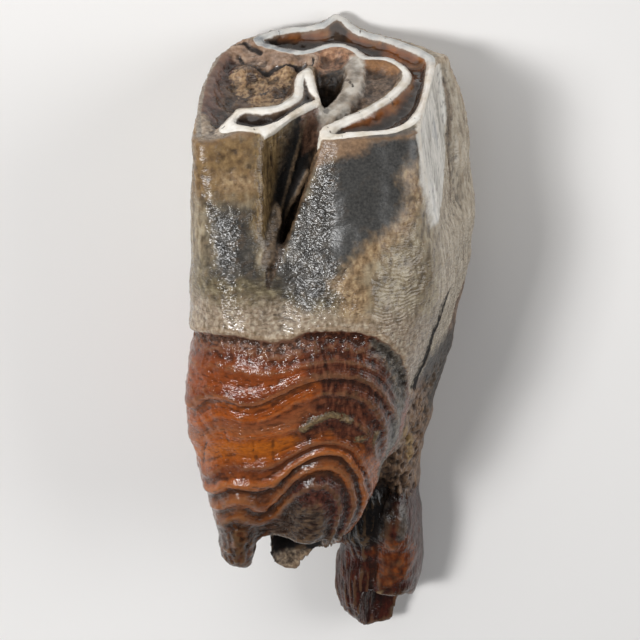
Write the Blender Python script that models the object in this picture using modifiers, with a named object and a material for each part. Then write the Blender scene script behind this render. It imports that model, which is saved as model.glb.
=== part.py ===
"""Fossil upper cheek tooth of a woolly rhinoceros, lying on its outer (cheek) side.

Built from lofts through the tooth's cross-sections, fused into one body. The worn chewing surface is cut out of the
crown with one shaped slab, then the growth steps of the root, the neck, the wear facet and the crack are moved in.

Directions while modelling, in millimetres: +Y is the chewing surface, -Y the root tips, +X the front of the jaw and
+Z the tongue side, which faces up. Everything is shifted and scaled to metres at the end.
"""
import bmesh
import bpy
import numpy as np
from mathutils import Matrix, Vector, noise

MM = 0.001
WEAR_HEIGHT = 32.6  # height of the chewing surface at its tongue-side edge
WEAR_EDGE_Z = 33.0
WEAR_RISE = 0.272  # rise of the chewing surface for each mm towards the cheek
ENAMEL = 1.5  # width of the worn enamel lines
NECK_LIP = 0.9  # how far the enamel stands out past the root at the neck
REST_LEVEL = 1.3  # the cheek side is ground flat up to here, so that the tooth lies on it
FRAME_SHIFT = (-1.7, 6.3, 0.0)  # from the modelling origin to the middle of the footprint
BODY_VOXEL = 0.8
CARVE_VOXEL = 0.62
TRIANGLES = 9600

# Cross-sections of crown and upper root: height, then (x, z) from the cheek-side back corner round by the front.
TRUNK = [
    (48, [(-13, 8), (-7, 4.4), (-2, 3.8), (3.4, 3.2), (16.8, 9.6), (16.4, 13), (13.7, 30), (9, 31.4), (2, 33),
          (-5, 31), (-12, 30.4), (-16.7, 32.6), (-17, 24), (-15.8, 13)]),
    (38, [(-13.6, 7.4), (-7, 3.6), (-2, 3.4), (3.4, 2.6), (18, 9), (16.9, 13), (13.9, 30.6), (9.4, 31.9),
          (2.2, 33.4), (-5, 31.2), (-12, 30.7), (-16.8, 33), (-17.3, 24), (-16.2, 13)]),
    (30, [(-14.6, 6), (-7.5, 1.8), (-2, 2.6), (3.8, 1), (20.9, 8), (18.2, 15), (14.5, 30.6), (9.2, 33.6), (2.4, 34.4),
          (-5, 32.4), (-12, 32.6), (-17.4, 32.6), (-17.8, 24), (-16.8, 14)]),
    (20, [(-15.2, 5), (-8, 0.4), (-2, 2), (4.4, 0), (21.8, 7), (19.6, 17), (15.4, 31), (9.4, 35.6), (3, 36.2),
          (-5, 34), (-12, 35), (-17.7, 32.4), (-18.1, 24), (-17.2, 13)]),
    (10, [(-15.6, 4.6), (-8, 0), (-2, 1.8), (5, -0.4), (22.2, 6), (21.3, 17), (17, 30.6), (9.5, 37.4), (3.4, 38.4),
          (-5, 37.2), (-12, 37.6), (-17.9, 32.6), (-18.5, 24), (-17.6, 13)]),
    (2, [(-15.6, 5), (-8, 0.2), (-2, 2.2), (5.4, 0), (21.3, 6), (20, 17), (15.8, 30.4), (9.6, 38), (3.4, 39.4),
         (-4, 39.8), (-12, 38.4), (-18.3, 33), (-18.9, 24), (-18, 14)]),
    (-6, [(-15, 7), (-8, 1.2), (-1.6, 3.4), (6, 0.8), (20.2, 5.6), (18.6, 16), (14, 29), (9, 36.4), (3.4, 38),
          (-4, 38), (-12, 37), (-18.9, 31.4), (-18.9, 24), (-17.4, 15)]),
    (-14, [(-13.6, 9), (-8, 3.4), (-1, 5), (6, 2.4), (18.2, 6), (16.4, 14.4), (12.6, 25.6), (8, 34), (3, 35.4),
           (-3.4, 35.6), (-11.5, 35), (-18.9, 29.4), (-18.2, 23), (-15.6, 16)]),
    (-20, [(-11.6, 13), (-8, 9), (-1, 9), (6, 7), (13.8, 9.4), (12.6, 15), (9.8, 24.6), (7, 31.4), (2, 33),
           (-4, 33), (-11, 33.2), (-17.7, 27.4), (-16.6, 22), (-14, 17)]),
]
# The broad tongue-side root with its two blunt lobes.
INNER_ROOTS = [
    (-8, [(-16, 18), (-2, 17), (11, 20), (12.4, 26), (7.6, 34), (-2, 36), (-6.5, 35.4), (-12, 35.6), (-17.6, 30)]),
    (-18, [(-16.3, 18), (-2, 15), (8.6, 18), (10, 25), (6.4, 32), (-1, 34.6), (-6.8, 33), (-12, 33.6), (-18, 28)]),
    (-25, [(-15, 18.6), (-3, 15), (6, 18), (8, 24), (5.4, 30), (-1, 32.6), (-7.2, 29.6), (-12, 31.6), (-16.5, 27)]),
    (-31, [(-14.2, 20), (-4, 16), (2.4, 18), (4.8, 22.6), (2.2, 28), (-2.4, 30.4), (-7.8, 27), (-12, 29.6),
           (-15.3, 26)]),
    (-36.4, [(-13.6, 21.4), (-5, 16.4), (-0.6, 17), (0.2, 21), (-1.2, 25), (-4, 26.8), (-8, 24.4), (-11.4, 27),
             (-14.2, 25)]),
    (-39.6, [(-10, 20), (-5.4, 16.2), (-3.2, 16.2), (-2.2, 18), (-2.8, 20.4), (-4.6, 21), (-6.4, 21), (-8.4, 21.4),
             (-10.4, 21.4)]),
    (-41.4, [(-6.9, 17.8), (-5.6, 16.2), (-3.4, 16.2), (-2.2, 17), (-2.4, 18.4), (-3.6, 18.8), (-5, 18.9), (-6, 18.9),
             (-6.8, 18.8)]),
]
FRONT_ROOT = [
    (-6, [(4, 5), (11, 2), (17, 5), (17.6, 11), (13, 18), (6, 17)]),
    (-16, [(2.6, 6), (10, 2.6), (16.4, 5), (17.2, 11), (12.6, 18), (5.4, 17.6)]),
    (-26, [(2.4, 7), (9, 3), (14.6, 5), (15.4, 10), (12, 16.4), (5, 15.4)]),
    (-36.6, [(2.6, 7.6), (8.6, 3), (14.6, 4.6), (15.9, 9), (12.4, 15.4), (5.6, 13.4)]),
    (-39.2, [(0.6, 9.6), (8.6, 2.8), (14.6, 4.5), (16, 9), (12.5, 14.2), (5.4, 12)]),
    (-40.6, [(2.8, 7.6), (8.6, 2.6), (14.6, 4.4), (16, 8.8), (12.6, 13.8), (5.8, 11.8)]),
    (-43, [(2.5, 6.6), (8.6, 2.6), (14.6, 4.4), (16, 8.6), (12.6, 13.4), (6, 11.4)]),
    (-48.4, [(2.4, 6.6), (8.6, 3), (13.2, 4.4), (15.2, 7.8), (12, 11.8), (5.8, 11)]),
    (-51.4, [(3, 6.4), (8.8, 3.2), (11.8, 4.6), (12.4, 7.2), (10.8, 10), (5.8, 10.4)]),
    (-53.4, [(4.6, 6.4), (9, 3.4), (11.6, 4.4), (12, 7), (10.4, 9.4), (6.6, 9.8)]),
    (-55.7, [(7.2, 6), (9.2, 3.8), (11.2, 4.6), (11.6, 6.8), (10.2, 8.6), (8, 8.6)]),
]
BACK_ROOT = [
    (-4, [(-14.6, 8), (-8, 3), (-3, 5), (-3.4, 13), (-9, 17), (-14.6, 14)]),
    (-16, [(-13.8, 9), (-8, 4.4), (-3.4, 6.6), (-4, 13), (-9, 16.4), (-13.6, 14)]),
    (-26, [(-12.6, 9.4), (-8, 6), (-4.4, 8), (-5, 12.6), (-8.6, 15), (-12, 13)]),
    (-33, [(-11, 10), (-8.4, 8), (-6, 9), (-6, 11.6), (-8.4, 13), (-10.4, 12)]),
]

# Lines of worn enamel on the chewing surface, as (x, z) along the middle of the enamel.
MAIN_LOOP = [
    (-9.1, 6.4), (-7.4, 4.8), (-4.9, 4.2), (-2.4, 3.9), (0, 4), (2.7, 3.4), (5, 4.6), (9, 6.2), (12.6, 8.2),
    (15.8, 10.4), (16, 14), (15.2, 21.7), (14, 26.4), (12.4, 29.2), (9.8, 30.8), (6, 32), (2, 32.6), (0.3, 31.9),
    (1.8, 29.7), (3.9, 28.1), (6.7, 26), (9.5, 22.9), (11.4, 20.1), (12.5, 17.1), (12.2, 14.4), (9.7, 12.3),
    (6.6, 12), (5.3, 10), (3.6, 8.6), (1.3, 8.4), (-2.6, 9.7), (-4.8, 9.3), (-7, 8.3),
]
BACK_LOOP = [
    (-1.9, 15.2), (-1.4, 17.7), (-1, 20), (0, 22.5), (-1.3, 24.1), (-3, 25.9), (-4.9, 28.1), (-6.9, 29.6),
    (-9, 30.2), (-11.4, 29.8), (-12.9, 28.2), (-12.2, 26.4), (-10.4, 25.7), (-8.2, 25.9), (-6, 25.4), (-4.3, 24),
    (-3.3, 22.3), (-3, 20.2), (-3, 17.8),
]
BACK_POCKET = [
    (-15.6, 30.6), (-16.4, 24), (-15.6, 15), (-13.4, 8.6), (-10.2, 6.6), (-7.2, 9.6), (-2.8, 10.7), (-1.2, 12),
    (-3.6, 16), (-4.2, 21), (-6, 24), (-9, 24.6), (-12.2, 24.8), (-14, 27.4),
]
VALLEY = [
    (-8.4, 50), (-8.4, 34), (-7.9, 30.4), (-5.4, 28.8), (-3.6, 27), (-1.9, 25), (0, 23.6), (-0.2, 20.4), (-0.7, 17),
    (-1.2, 13.6), (0, 10), (2.6, 9.4), (4.5, 10.6), (6.4, 13), (9.4, 13.2), (11.4, 15), (11.6, 17.2), (10.6, 19.8),
    (8.8, 22.2), (6, 25.2), (3.2, 27.2), (1.1, 29.2), (-0.2, 31), (-0.3, 34), (-0.3, 50),
]
# The valley from the middle of the tooth to the tongue side: z, floor x, floor y, right edge x, left edge x.
VALLEY_RUN = np.array([
    (22.0, 1.2, 15.0, 8.6, 0.2),
    (25.0, 0.2, 14.0, 6.0, -1.2),
    (27.0, -1.8, 13.0, 3.6, -3.6),
    (29.0, -4.0, 12.2, 1.4, -5.8),
    (31.0, -5.8, 12.0, 0.2, -7.8),
    (34.0, -7.1, 11.6, 0.0, -8.4),
    (37.0, -7.5, 12.4, 0.2, -8.8),
    (50.0, -7.6, 19.0, 0.4, -9.2),
])
# Depths below the chewing surface inside the valley's inner end: x, z, depth, reach.
VALLEY_DEPTHS = [
    (1.2, 17.0, 11.0, 1.6), (1.4, 12.0, 1.6, 2.2), (4.6, 13.0, 1.0, 1.4), (8.8, 15.0, 1.4, 2.4),
    (8.2, 19.6, 2.0, 2.0), (5.8, 23.0, 3.6, 1.7), (4.6, 17.8, 0.8, 1.5), (1.4, 21.0, 6.0, 1.2), (2.0, 26.0, 6.0, 1.6),
]
FOLD = [(4.9, 12.6), (5.2, 15.4), (4.6, 18.6), (3.0, 21.4), (1.0, 23.8)]  # enamel fold beside the round pit

# Hollows and breaks at the root ends: closed outlines placed along Y, as for the roots.
ROOT_CUTS = {
    "inner_pulp": [
        (-25, [(-4.6, 22.6), (-2.6, 23), (-2.6, 24.6), (-4.6, 25)]),
        (-29, [(-5.8, 20), (-1.6, 20.4), (-1, 26.2), (-5.6, 26.4)]),
        (-34, [(-6.5, 18), (-1.6, 18), (-0.4, 26), (-6.3, 26)]),
        (-37, [(-6.6, 18.4), (-2, 18.2), (-0.6, 26.4), (-6.4, 26.6)]),
        (-42, [(-6.6, 20.4), (-2.4, 20.2), (-0.6, 26.4), (-6.4, 26.6)]),
    ],
    "inner_break": [
        (-30.6, [(-4.6, 26), (0.2, 25), (1.4, 44), (-4.4, 44)]),
        (-31.6, [(-8, 25), (1, 23.6), (2.2, 44), (-8, 44)]),
        (-34, [(-8, 23.6), (1, 21.6), (3, 44), (-8, 44)]),
        (-37, [(-8.2, 21.6), (0.4, 19.6), (3, 44), (-8.1, 44)]),
        (-44, [(-8.4, 19.6), (-0.2, 18.2), (2.6, 44), (-8.2, 44)]),
    ],
    "root_notch": [
        (-31.4, [(-9, 10), (-8.4, 10), (-7, 44), (-9, 44)]),
        (-33, [(-9.3, 10), (-8.3, 10), (-6.6, 44), (-9.3, 44)]),
        (-36, [(-9.9, 10), (-8.2, 10), (-6.4, 44), (-9.9, 44)]),
        (-38.6, [(-10.6, 10), (-8.1, 10), (-6.3, 44), (-10.6, 44)]),
        (-40.4, [(-11.2, 10), (-7, 10), (-5.6, 44), (-11.2, 44)]),
        (-42, [(-11.4, 10), (-4.6, 10), (-3.6, 44), (-11.4, 44)]),
        (-44, [(-11.4, 10), (-3, 10), (-2, 44), (-11.4, 44)]),
    ],
    "back_stub_end": [
        (-36.4, [(-18, 8), (-12, 8), (-8.4, 44), (-18, 44)]),
        (-38, [(-20, 8), (-9, 8), (-8.2, 44), (-20, 44)]),
        (-46, [(-20, 8), (-8, 8), (-8, 44), (-20, 44)]),
    ],
    "back_stub_pulp": [
        (-33, [(-12.4, 23), (-11, 23), (-11, 24.6), (-12.4, 24.6)]),
        (-35.4, [(-13, 22.6), (-10.6, 22.6), (-10.4, 25.4), (-12.8, 25.6)]),
        (-44, [(-13.6, 22), (-10, 22), (-9.8, 26), (-13.2, 26)]),
    ],
    "front_root_break": [
        (-48.2, [(7.6, 7.6), (12.8, 7.2), (13.2, 20), (7.4, 20)]),
        (-51, [(7.2, 7.2), (14.4, 6.8), (15, 20), (7.2, 20)]),
        (-60, [(6.8, 7), (15, 6.4), (15, 20), (6.8, 20)]),
    ],
}

# Growth marks on the tongue-side root, as (x, y) along each; the key is the distance down from the neck.
GROWTH_MARKS = {
    0.0: [(-18.5, 3.6), (-16.4, 4.4), (-12, 5), (-8.9, 4.6), (-6.5, 4.3), (-4, 4.8), (-1.6, 5.8), (1.5, 5.9),
          (5.1, 5.7), (7.9, 4.9), (9.8, 3.3), (11.4, 1.1), (12.4, -2.1), (12.8, -5.2)],
    3.2: [(-18.5, 0.6), (-15.2, 1.4), (-12, 1.7), (-8.3, 1.1), (-5.3, 0.9), (-2.8, 1.9), (0.2, 2.2), (5.1, 1.8),
          (7.9, 0.5), (10.1, -2.1), (11.5, -6.2)],
    6.6: [(-18.3, -8.2), (-15.9, -4.9), (-13.3, -4.4), (-11.2, -5.4), (-9, -5.1), (-5.3, -3.1), (-2.8, -1.5),
          (-1, -0.8), (1.5, -0.6), (5.2, -1), (7.6, -2.5), (9.5, -4.9), (10.6, -8.4), (10.9, -13), (10.2, -17.3)],
    9.4: [(-18, -11.2), (-14.7, -7.9), (-11.2, -8.4), (-8.4, -8.1), (-4.1, -4.8), (-1.6, -3.6), (0.2, -3.2),
          (3.3, -3.4), (6.4, -4.6), (8.3, -7.1), (9.4, -11.2), (9.2, -16)],
    12.6: [(-17.8, -14.3), (-14.8, -11.4), (-11.3, -11.6), (-8.2, -11), (-5.3, -10.2), (-2.9, -9.8), (-1, -8.7),
           (0.9, -7.9), (3, -8.1), (5.2, -9), (7.4, -11.5), (8.2, -16.5)],
    17.4: [(-16.5, -19.9), (-14.3, -17.4), (-12.3, -16.4), (-8.5, -16.4), (-6, -15.7), (-4.1, -14.4), (-1.6, -12.5),
           (0.9, -12), (3.4, -12.5), (5.6, -14.8), (7, -19), (7.4, -23.4)],
    19.4: [(-15.2, -22.1), (-14.3, -20.6), (-11.4, -20.2), (-8.6, -20.7), (-6.7, -19.4), (-4.8, -17.7),
           (-2.9, -15.5), (-1, -14.1), (1.5, -13.3), (4, -14.4), (5.9, -18), (6.5, -22.8), (5.6, -27.4), (3.6, -31)],
    22.0: [(-14.6, -25.1), (-13.4, -23.2), (-11.8, -22.1), (-10.2, -23.2), (-9.3, -25.2), (-8.1, -25.7),
           (-6.4, -23.7), (-5.1, -21.4), (-3.8, -18.4), (-2.3, -17.1), (0.3, -16.4), (2.8, -17.1), (4.4, -20.9),
           (4.8, -25.1), (3.5, -29.5)],
    25.0: [(-14.4, -28.7), (-12.8, -26.2), (-11.5, -25.9), (-10.3, -27.1), (-9.2, -28.2), (-6.8, -27),
           (-5.5, -24.5), (-3.9, -21.9), (-2, -20), (0.3, -19.5), (2.2, -20.8), (3.1, -23.9), (2.2, -28.9)],
    28.4: [(-14.3, -32.2), (-12.6, -28.7), (-11, -29.1), (-9.7, -30.9), (-6.8, -30.6), (-4.2, -25.4), (-1.6, -23.3),
           (0.3, -24.2), (0.8, -29)],
}
# Steps at the growth marks: level, height, reach above, reach below.
STEPS = [
    (2.4, 0.25, 0.7, 0.5, 1, 1), (4.2, 0.25, 0.6, 0.5, 1, 1), (6.7, 1.0, 1.3, 0.5, 1, 0.6),
    (9.5, 0.6, 1.1, 0.5, 0.3, 0.7), (12.6, 0.3, 0.8, 0.6, 0.8, 1), (17.4, 0.55, 0.9, 0.6, 1, 1),
    (19.5, 0.9, 0.9, 0.6, 1, 1), (22.1, 0.75, 1.0, 0.6, 1, 1), (25.2, 0.55, 0.9, 0.7, 0.6, 1),
    (28.4, 0.4, 0.8, 0.8, 0.3, 1),
]
CRACK = [  # where the front plate of bone has split from the crown
    (19.8, 14, 22.4), (19.6, 10, 23.2), (19.2, 7.6, 25), (18.6, 6.6, 26.4), (18, 5.6, 27.4), (17.7, 4, 27.4),
    (16.9, 2.3, 28.1), (16.3, 0.2, 28.3), (15.7, -1.8, 28.5), (15.1, -3.4, 28.6), (14.4, -5, 28.9),
    (13.9, -6.3, 28.9),
]
CRACK_OPENS = (0.0, 0.342, 0.94)  # the way the crack opens
FACET_POINT = (13.9, 33.2, 30.6)  # flat worn by the neighbouring tooth
FACET_NORMAL = (0.966, 0.162, 0.204)
VALLEY_BROWS = [  # edges where the lobes round over into the valley, with the width rounded
    ([(-8.2, 33, 32.5), (-8.3, 28, 33), (-8.3, 21, 34), (-7.6, 14.5, 35.2)], 3.6),
    ([(-7, 14.6, 35), (-5.3, 20.2, 34.3), (-3.6, 24.2, 33.8), (-1.3, 28, 33.5), (-0.2, 30.6, 33.2)], 2.2),
]
# Dents: centre, radius, depth.
DENTS = [
    ((9.9, -29.0, 15.5), 3.0, 3.0), ((4.0, -27.0, 16.0), 3.0, 1.4), ((13.6, -12.5, 24.0), 2.6, 0.9),
    ((-17.6, 5.8, 30.0), 1.6, 0.7), ((2.4, -40.0, 9.0), 2.4, 0.8), ((-6.4, 8.0, 38.0), 3.4, 0.7),
]
FRONT_GROOVE = [(8.6, -33, 15.6), (8.4, -40, 13.6), (8.0, -47, 11.6), (7.6, -53, 9.6)]


def spline(points, count, closed):
    """Catmull-Rom curve through the points, with count steps to each span."""
    points = np.array(points, float)
    total = len(points)
    spans = total if closed else total - 1
    out = []
    for i in range(spans):
        if closed:
            a, b, c, d = (points[(i + k) % total] for k in (-1, 0, 1, 2))
        else:
            a, b, c, d = (points[min(max(i + k, 0), total - 1)] for k in (-1, 0, 1, 2))
        for t in np.arange(count) / count:
            out.append(0.5 * (2 * b + (c - a) * t + (2 * a - 5 * b + 4 * c - d) * t**2 + (3 * b - a - 3 * c + d) * t**3))
    if not closed:
        out.append(points[-1])
    return np.array(out)


MAIN_RIM, BACK_RIM = spline(MAIN_LOOP, 3, closed=True), spline(BACK_LOOP, 3, closed=True)


def object_from(bm, name):
    mesh = bpy.data.meshes.new(name)
    bm.to_mesh(mesh)
    bm.free()
    obj = bpy.data.objects.new(name, mesh)
    bpy.context.scene.collection.objects.link(obj)
    return obj


def loft(name, sections, per_span=6, per_station=6):
    """Closed body through outlines placed along Y; each outline is a smooth closed curve."""
    rings = [spline(points, per_span, closed=True) for _, points in sections]
    heights = [(y,) for y, _ in sections]
    columns = np.array(rings).transpose(1, 0, 2)
    tall = np.array([spline(column, per_station, closed=False) for column in columns]).transpose(1, 0, 2)
    ys = spline(heights, per_station, closed=False)[:, 0]
    bm = bmesh.new()
    loops = [[bm.verts.new((x, y, z)) for x, z in ring] for y, ring in zip(ys, tall)]
    for low, high in zip(loops, loops[1:]):
        for i in range(len(low)):
            j = (i + 1) % len(low)
            bm.faces.new((low[i], low[j], high[j], high[i]))
    for ring in (loops[0], loops[-1]):
        middle = bm.verts.new(sum((v.co for v in ring), Vector()) / len(ring))
        for i in range(len(ring)):
            bm.faces.new((ring[i], ring[(i + 1) % len(ring)], middle))
    bmesh.ops.recalc_face_normals(bm, faces=bm.faces)
    return object_from(bm, name)


def ramp(low, high, value):
    """0 at low, 1 at high, smooth between."""
    t = np.clip((value - low) / (high - low), 0, 1)
    return t * t * (3 - 2 * t)


def bump(value, middle, width):
    """1 at middle, falling off over width on either side."""
    return np.exp(-(((value - middle) / width) ** 2))


def distance_to_line(points, line, closed=False):
    """Distance of each 2-D or 3-D point from a line of straight pieces."""
    line = np.array(line, float)
    ends = np.roll(line, -1, axis=0) if closed else line[1:]
    nearest = np.full(len(points), 1e9)
    for a, b in zip(line, ends):
        along = b - a
        share = np.clip((points - a) @ along / max(along @ along, 1e-9), 0, 1)
        nearest = np.minimum(nearest, np.linalg.norm(points - a - share[:, None] * along, axis=1))
    return nearest


def depth_inside(points, outline):
    """How far each 2-D point lies inside a closed outline; negative outside it."""
    outline = np.array(outline, float)
    inside = np.zeros(len(points), bool)
    for a, b in zip(outline, np.roll(outline, -1, axis=0)):
        crosses = (a[1] > points[:, 1]) != (b[1] > points[:, 1])
        rise = b[1] - a[1] if b[1] != a[1] else 1e-9
        inside ^= crosses & (points[:, 0] < (b[0] - a[0]) * (points[:, 1] - a[1]) / rise + a[0])
    away = distance_to_line(points, outline, closed=True)
    return np.where(inside, away, -away)


def crack_gap(points):
    """Distance of each point from the crack, whatever its depth."""
    out, line = np.array(CRACK_OPENS), np.array(CRACK)
    gap = distance_to_line(points - (points @ out)[:, None] * out, line - (line @ out)[:, None] * out)
    return gap + 9 * ramp(9, 7, points[:, 0]) + 9 * ramp(14, 11, points[:, 2]) + 9 * ramp(7.5, 9, points[:, 1])


def rough(points, scale, octaves=3, seed=0.0):
    """Fractal noise of about -1 to 1 at each 3-D point; scale is the size of its lumps."""
    offset = Vector((seed, 2 * seed, -seed))
    return np.array([noise.fractal(Vector(p) / scale + offset, 1.0, 2.0, octaves) for p in points])


def chewing_surface(x, z):
    """Height along Y of the worn surface over each (x, z)."""
    plan = np.column_stack([x, z])
    flat = WEAR_HEIGHT + WEAR_RISE * (WEAR_EDGE_Z - z)
    flat = flat + 1.5 * bump(x, 2.7, 1.7) * bump(z, 3.0, 2.4) + 0.8 * bump(x, 0, 6) * bump(z, 3, 4)
    flat = flat - 0.8 * bump(x, 18, 4) * bump(z, 9, 4) - 1.2 * ramp(-9, -18, x) * ramp(24, 34, z)
    height = flat.copy()
    for loop, bowl in ((MAIN_RIM, 1.3), (BACK_RIM, 1.2)):
        inside = depth_inside(plan, loop)
        height -= bowl * ramp(0.3 * ENAMEL, 0.95 * ENAMEL, inside) + 0.8 * ramp(1.5, 4, inside)
    pocket = depth_inside(plan, BACK_POCKET)
    lumps = rough(np.column_stack([x, z, 0 * x]), 3.0, 3, 7.0)
    shelf = ramp(13.4, 11.2, z + 0.9 * lumps + 0.1 * (x + 8)) * ramp(-14.4, -12.4, x)
    depth = 3.0 - 1.6 * shelf + 0.9 * lumps + 0.8 * bump(x, -9, 4) * bump(z, 20, 5)
    height -= ramp(-0.4, 1.2, pocket) * depth * (1 - 0.75 * ramp(-12.5, -15.5, x))
    height -= 1.1 * ramp(-11, -15, x) * ramp(4, 9, z) * ramp(33, 29, z)
    return np.where(depth_inside(plan, VALLEY) > 0, valley_height(plan, flat), height)


def valley_height(plan, flat):
    x, z = plan[:, 0], plan[:, 1]
    floor_x, floor_y, right, left = (np.interp(z, VALLEY_RUN[:, 0], VALLEY_RUN[:, k]) for k in (1, 2, 3, 4))
    up_right = np.clip((x - floor_x) / (right - floor_x), 0, 1)
    up_left = np.clip((floor_x - x) / (floor_x - left), 0, 1) ** 1.3
    outer = floor_y + (flat - floor_y) * np.where(x > floor_x, up_right, up_left)
    weights = np.array([np.exp(-((x - a) ** 2 + (z - b) ** 2) / r**2) for a, b, _, r in VALLEY_DEPTHS]) + 1e-9
    depth = (weights * np.array([d for _, _, d, _ in VALLEY_DEPTHS])[:, None]).sum(0) / weights.sum(0)
    inner = flat - depth * ramp(0, 1.0, depth_inside(plan, VALLEY))
    fold = distance_to_line(plan, FOLD)
    crest = flat - 0.4 - 0.22 * np.clip(z - 17.5, 0, 9)
    inner = np.maximum(inner, crest - 2.2 * np.clip(fold - 1.1, 0, 9))
    blend = ramp(24.6, 27.4, z)
    return inner * (1 - blend) + outer * blend


def modified(obj, kind, **settings):
    """Adds a modifier, applies it and hands back the object."""
    modifier = obj.modifiers.new(kind.title(), kind)
    for key, value in settings.items():
        setattr(modifier, key, value)
    graph = bpy.context.evaluated_depsgraph_get()
    mesh = bpy.data.meshes.new_from_object(obj.evaluated_get(graph))
    obj.modifiers.clear()
    obj.data = mesh
    return obj


def joined(objects, name):
    bm = bmesh.new()
    for obj in objects:
        bm.from_mesh(obj.data)
        bpy.data.objects.remove(obj)
    return object_from(bm, name)


def wear_cutter(step):
    """Slab whose underside is the chewing surface, to cut it into the end of the crown."""
    bm = bmesh.new()
    side = 60
    bmesh.ops.create_grid(bm, x_segments=int(side / step), y_segments=int(side / step), size=side / 2)
    x = np.array([v.co.x for v in bm.verts])
    z = np.array([v.co.y for v in bm.verts]) + 20
    for vert, a, b, y in zip(bm.verts, x, z, chewing_surface(x, z)):
        vert.co = (a, y, b)
    made = bmesh.ops.extrude_face_region(bm, geom=list(bm.faces))
    for vert in (e for e in made["geom"] if isinstance(e, bmesh.types.BMVert)):
        vert.co.y = 70
    bmesh.ops.recalc_face_normals(bm, faces=bm.faces)
    return object_from(bm, "wear_cutter")


def growth_level(face):
    """Distance down from the neck at each (x, y) of the tongue side, read off the growth marks."""
    marks = np.array([point for line in GROWTH_MARKS.values() for point in line], float)
    levels = np.array([level for level, line in GROWTH_MARKS.items() for _ in line])
    spread = np.linalg.norm(marks[:, None] - marks[None], axis=2)
    count = len(marks)
    plane = np.column_stack([np.ones(count), marks])
    system = np.block([[spread - 0.6 * np.eye(count), plane], [plane.T, np.zeros((3, 3))]])
    weights = np.linalg.solve(system, np.concatenate([levels, np.zeros(3)]))
    level = weights[count] + face @ weights[count + 1:]
    for mark, weight in zip(marks, weights[:count]):
        level += weight * np.linalg.norm(face - mark, axis=1)
    return level


def root_patch():
    """Outline in (x, y) of the smooth tongue-side root: the neck, then down its front edge and round."""
    return GROWTH_MARKS[0.0] + [(13, -9), (12.4, -13.4), (10.8, -18.4), (8.8, -23), (7.2, -27), (6, -44), (-30, -44),
                                (-30, 3.8)]


def neck_height(x, z):
    """Height along Y of the neck off the tongue side, which dips where the crown runs down the front face."""
    along = np.interp(x, [-18, -8, -2, 5, 12, 20], [3.6, 1.6, 2.8, 0.8, 2.6, 4])
    return along - 9.5 * ramp(9, 13, x) * ramp(10, 16, z)


def carve(points, normals):
    """The moves that put growth steps, neck, facet, crack, dents and small lumps on the fused tooth."""
    face = points[:, :2]
    tongue_side = ramp(14, 18, points[:, 2]) * ramp(-0.5, 0.3, normals[:, 2])
    inside = depth_inside(face, root_patch())
    level = growth_level(face)
    forward = ramp(-12, 2, points[:, 0])
    steps = sum(
        height * (back + (front - back) * forward) * np.where(level < q, bump(level, q, up), bump(level, q, down))
        for q, height, up, down, back, front in STEPS
    )
    steps = steps * (0.35 + 0.65 * ramp(0.1, 0.7, normals[:, 2])) * ramp(0, 1.2, inside)
    lip = NECK_LIP * ramp(-0.4, 0.5, inside) * (1 - ramp(1.5, 6, inside)) * ramp(-9, -3, points[:, 1])
    under_neck = neck_height(points[:, 0], points[:, 2]) - points[:, 1]
    cheek_lip = NECK_LIP * ramp(-0.4, 0.5, under_neck) * (1 - ramp(1.5, 8, under_neck))
    cheek_lip *= 1 - ramp(14, 17, points[:, 0]) * ramp(5, 9, points[:, 2])
    onto_tongue_side = ramp(15, 18, points[:, 2])
    push = tongue_side * (steps - 0.2 * ramp(0, 1, inside))
    push -= lip * onto_tongue_side + cheek_lip * (1 - onto_tongue_side)
    push += 0.3 * rough(points, 6.0, 3, 3.0)
    crack = np.array(CRACK[::-1])
    past = points[:, 0] - np.interp(points[:, 1], crack[:, 1], crack[:, 0])
    wing = ramp(0, 0.8, past) * ramp(13.5, 9, points[:, 1]) * ramp(2, 6, points[:, 2]) * ramp(30, 27, points[:, 2])
    push -= 0.7 * wing * ramp(-18, -12, points[:, 1])
    push -= 0.8 * bump(distance_to_line(points, FRONT_GROOVE), 0, 1.2)
    for centre, radius, depth in DENTS:
        push -= depth * bump(np.linalg.norm(points - np.array(centre), axis=1), 0, radius)
    moved = points + normals * push[:, None]
    open_width = np.interp(points[:, 1], [-5, 4, 14], [0.75, 0.5, 0.35])
    trench = 2.4 * np.exp(-((crack_gap(points) / open_width) ** 2)) * ramp(-8.5, -6.5, points[:, 1])
    moved -= trench[:, None] * np.array(CRACK_OPENS)
    beyond = np.clip((moved - np.array(FACET_POINT)) @ np.array(FACET_NORMAL), 0, None)
    beyond *= ramp(15, 18, moved[:, 1]) * ramp(12.5, 15, moved[:, 2])
    return moved - beyond[:, None] * np.array(FACET_NORMAL)


def vertex_arrays(mesh):
    points = np.empty(len(mesh.vertices) * 3, np.float32)
    normals = np.empty(len(mesh.vertices) * 3, np.float32)
    mesh.vertices.foreach_get("co", points)
    mesh.vertices.foreach_get("normal", normals)
    return points.reshape(-1, 3).astype(float), normals.reshape(-1, 3).astype(float)


def place(mesh, points):
    mesh.vertices.foreach_set("co", points.astype(np.float32).ravel())
    mesh.update()


def round_brows(obj, voxel):
    """Smooths the mesh beside the valley, where the lobes roll over into it."""
    points, _ = vertex_arrays(obj.data)
    for number, (line, width) in enumerate(VALLEY_BROWS):
        group = obj.vertex_groups.new(name=f"brow_{number}")
        weights = 1 - ramp(0.3 * width, width, distance_to_line(points, line))
        for index in np.nonzero(weights > 0.01)[0]:
            group.add([int(index)], float(weights[index]), "REPLACE")
        passes = int(0.9 * (width / voxel) ** 2)
        modified(obj, "SMOOTH", factor=0.5, iterations=passes, vertex_group=group.name)


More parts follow.
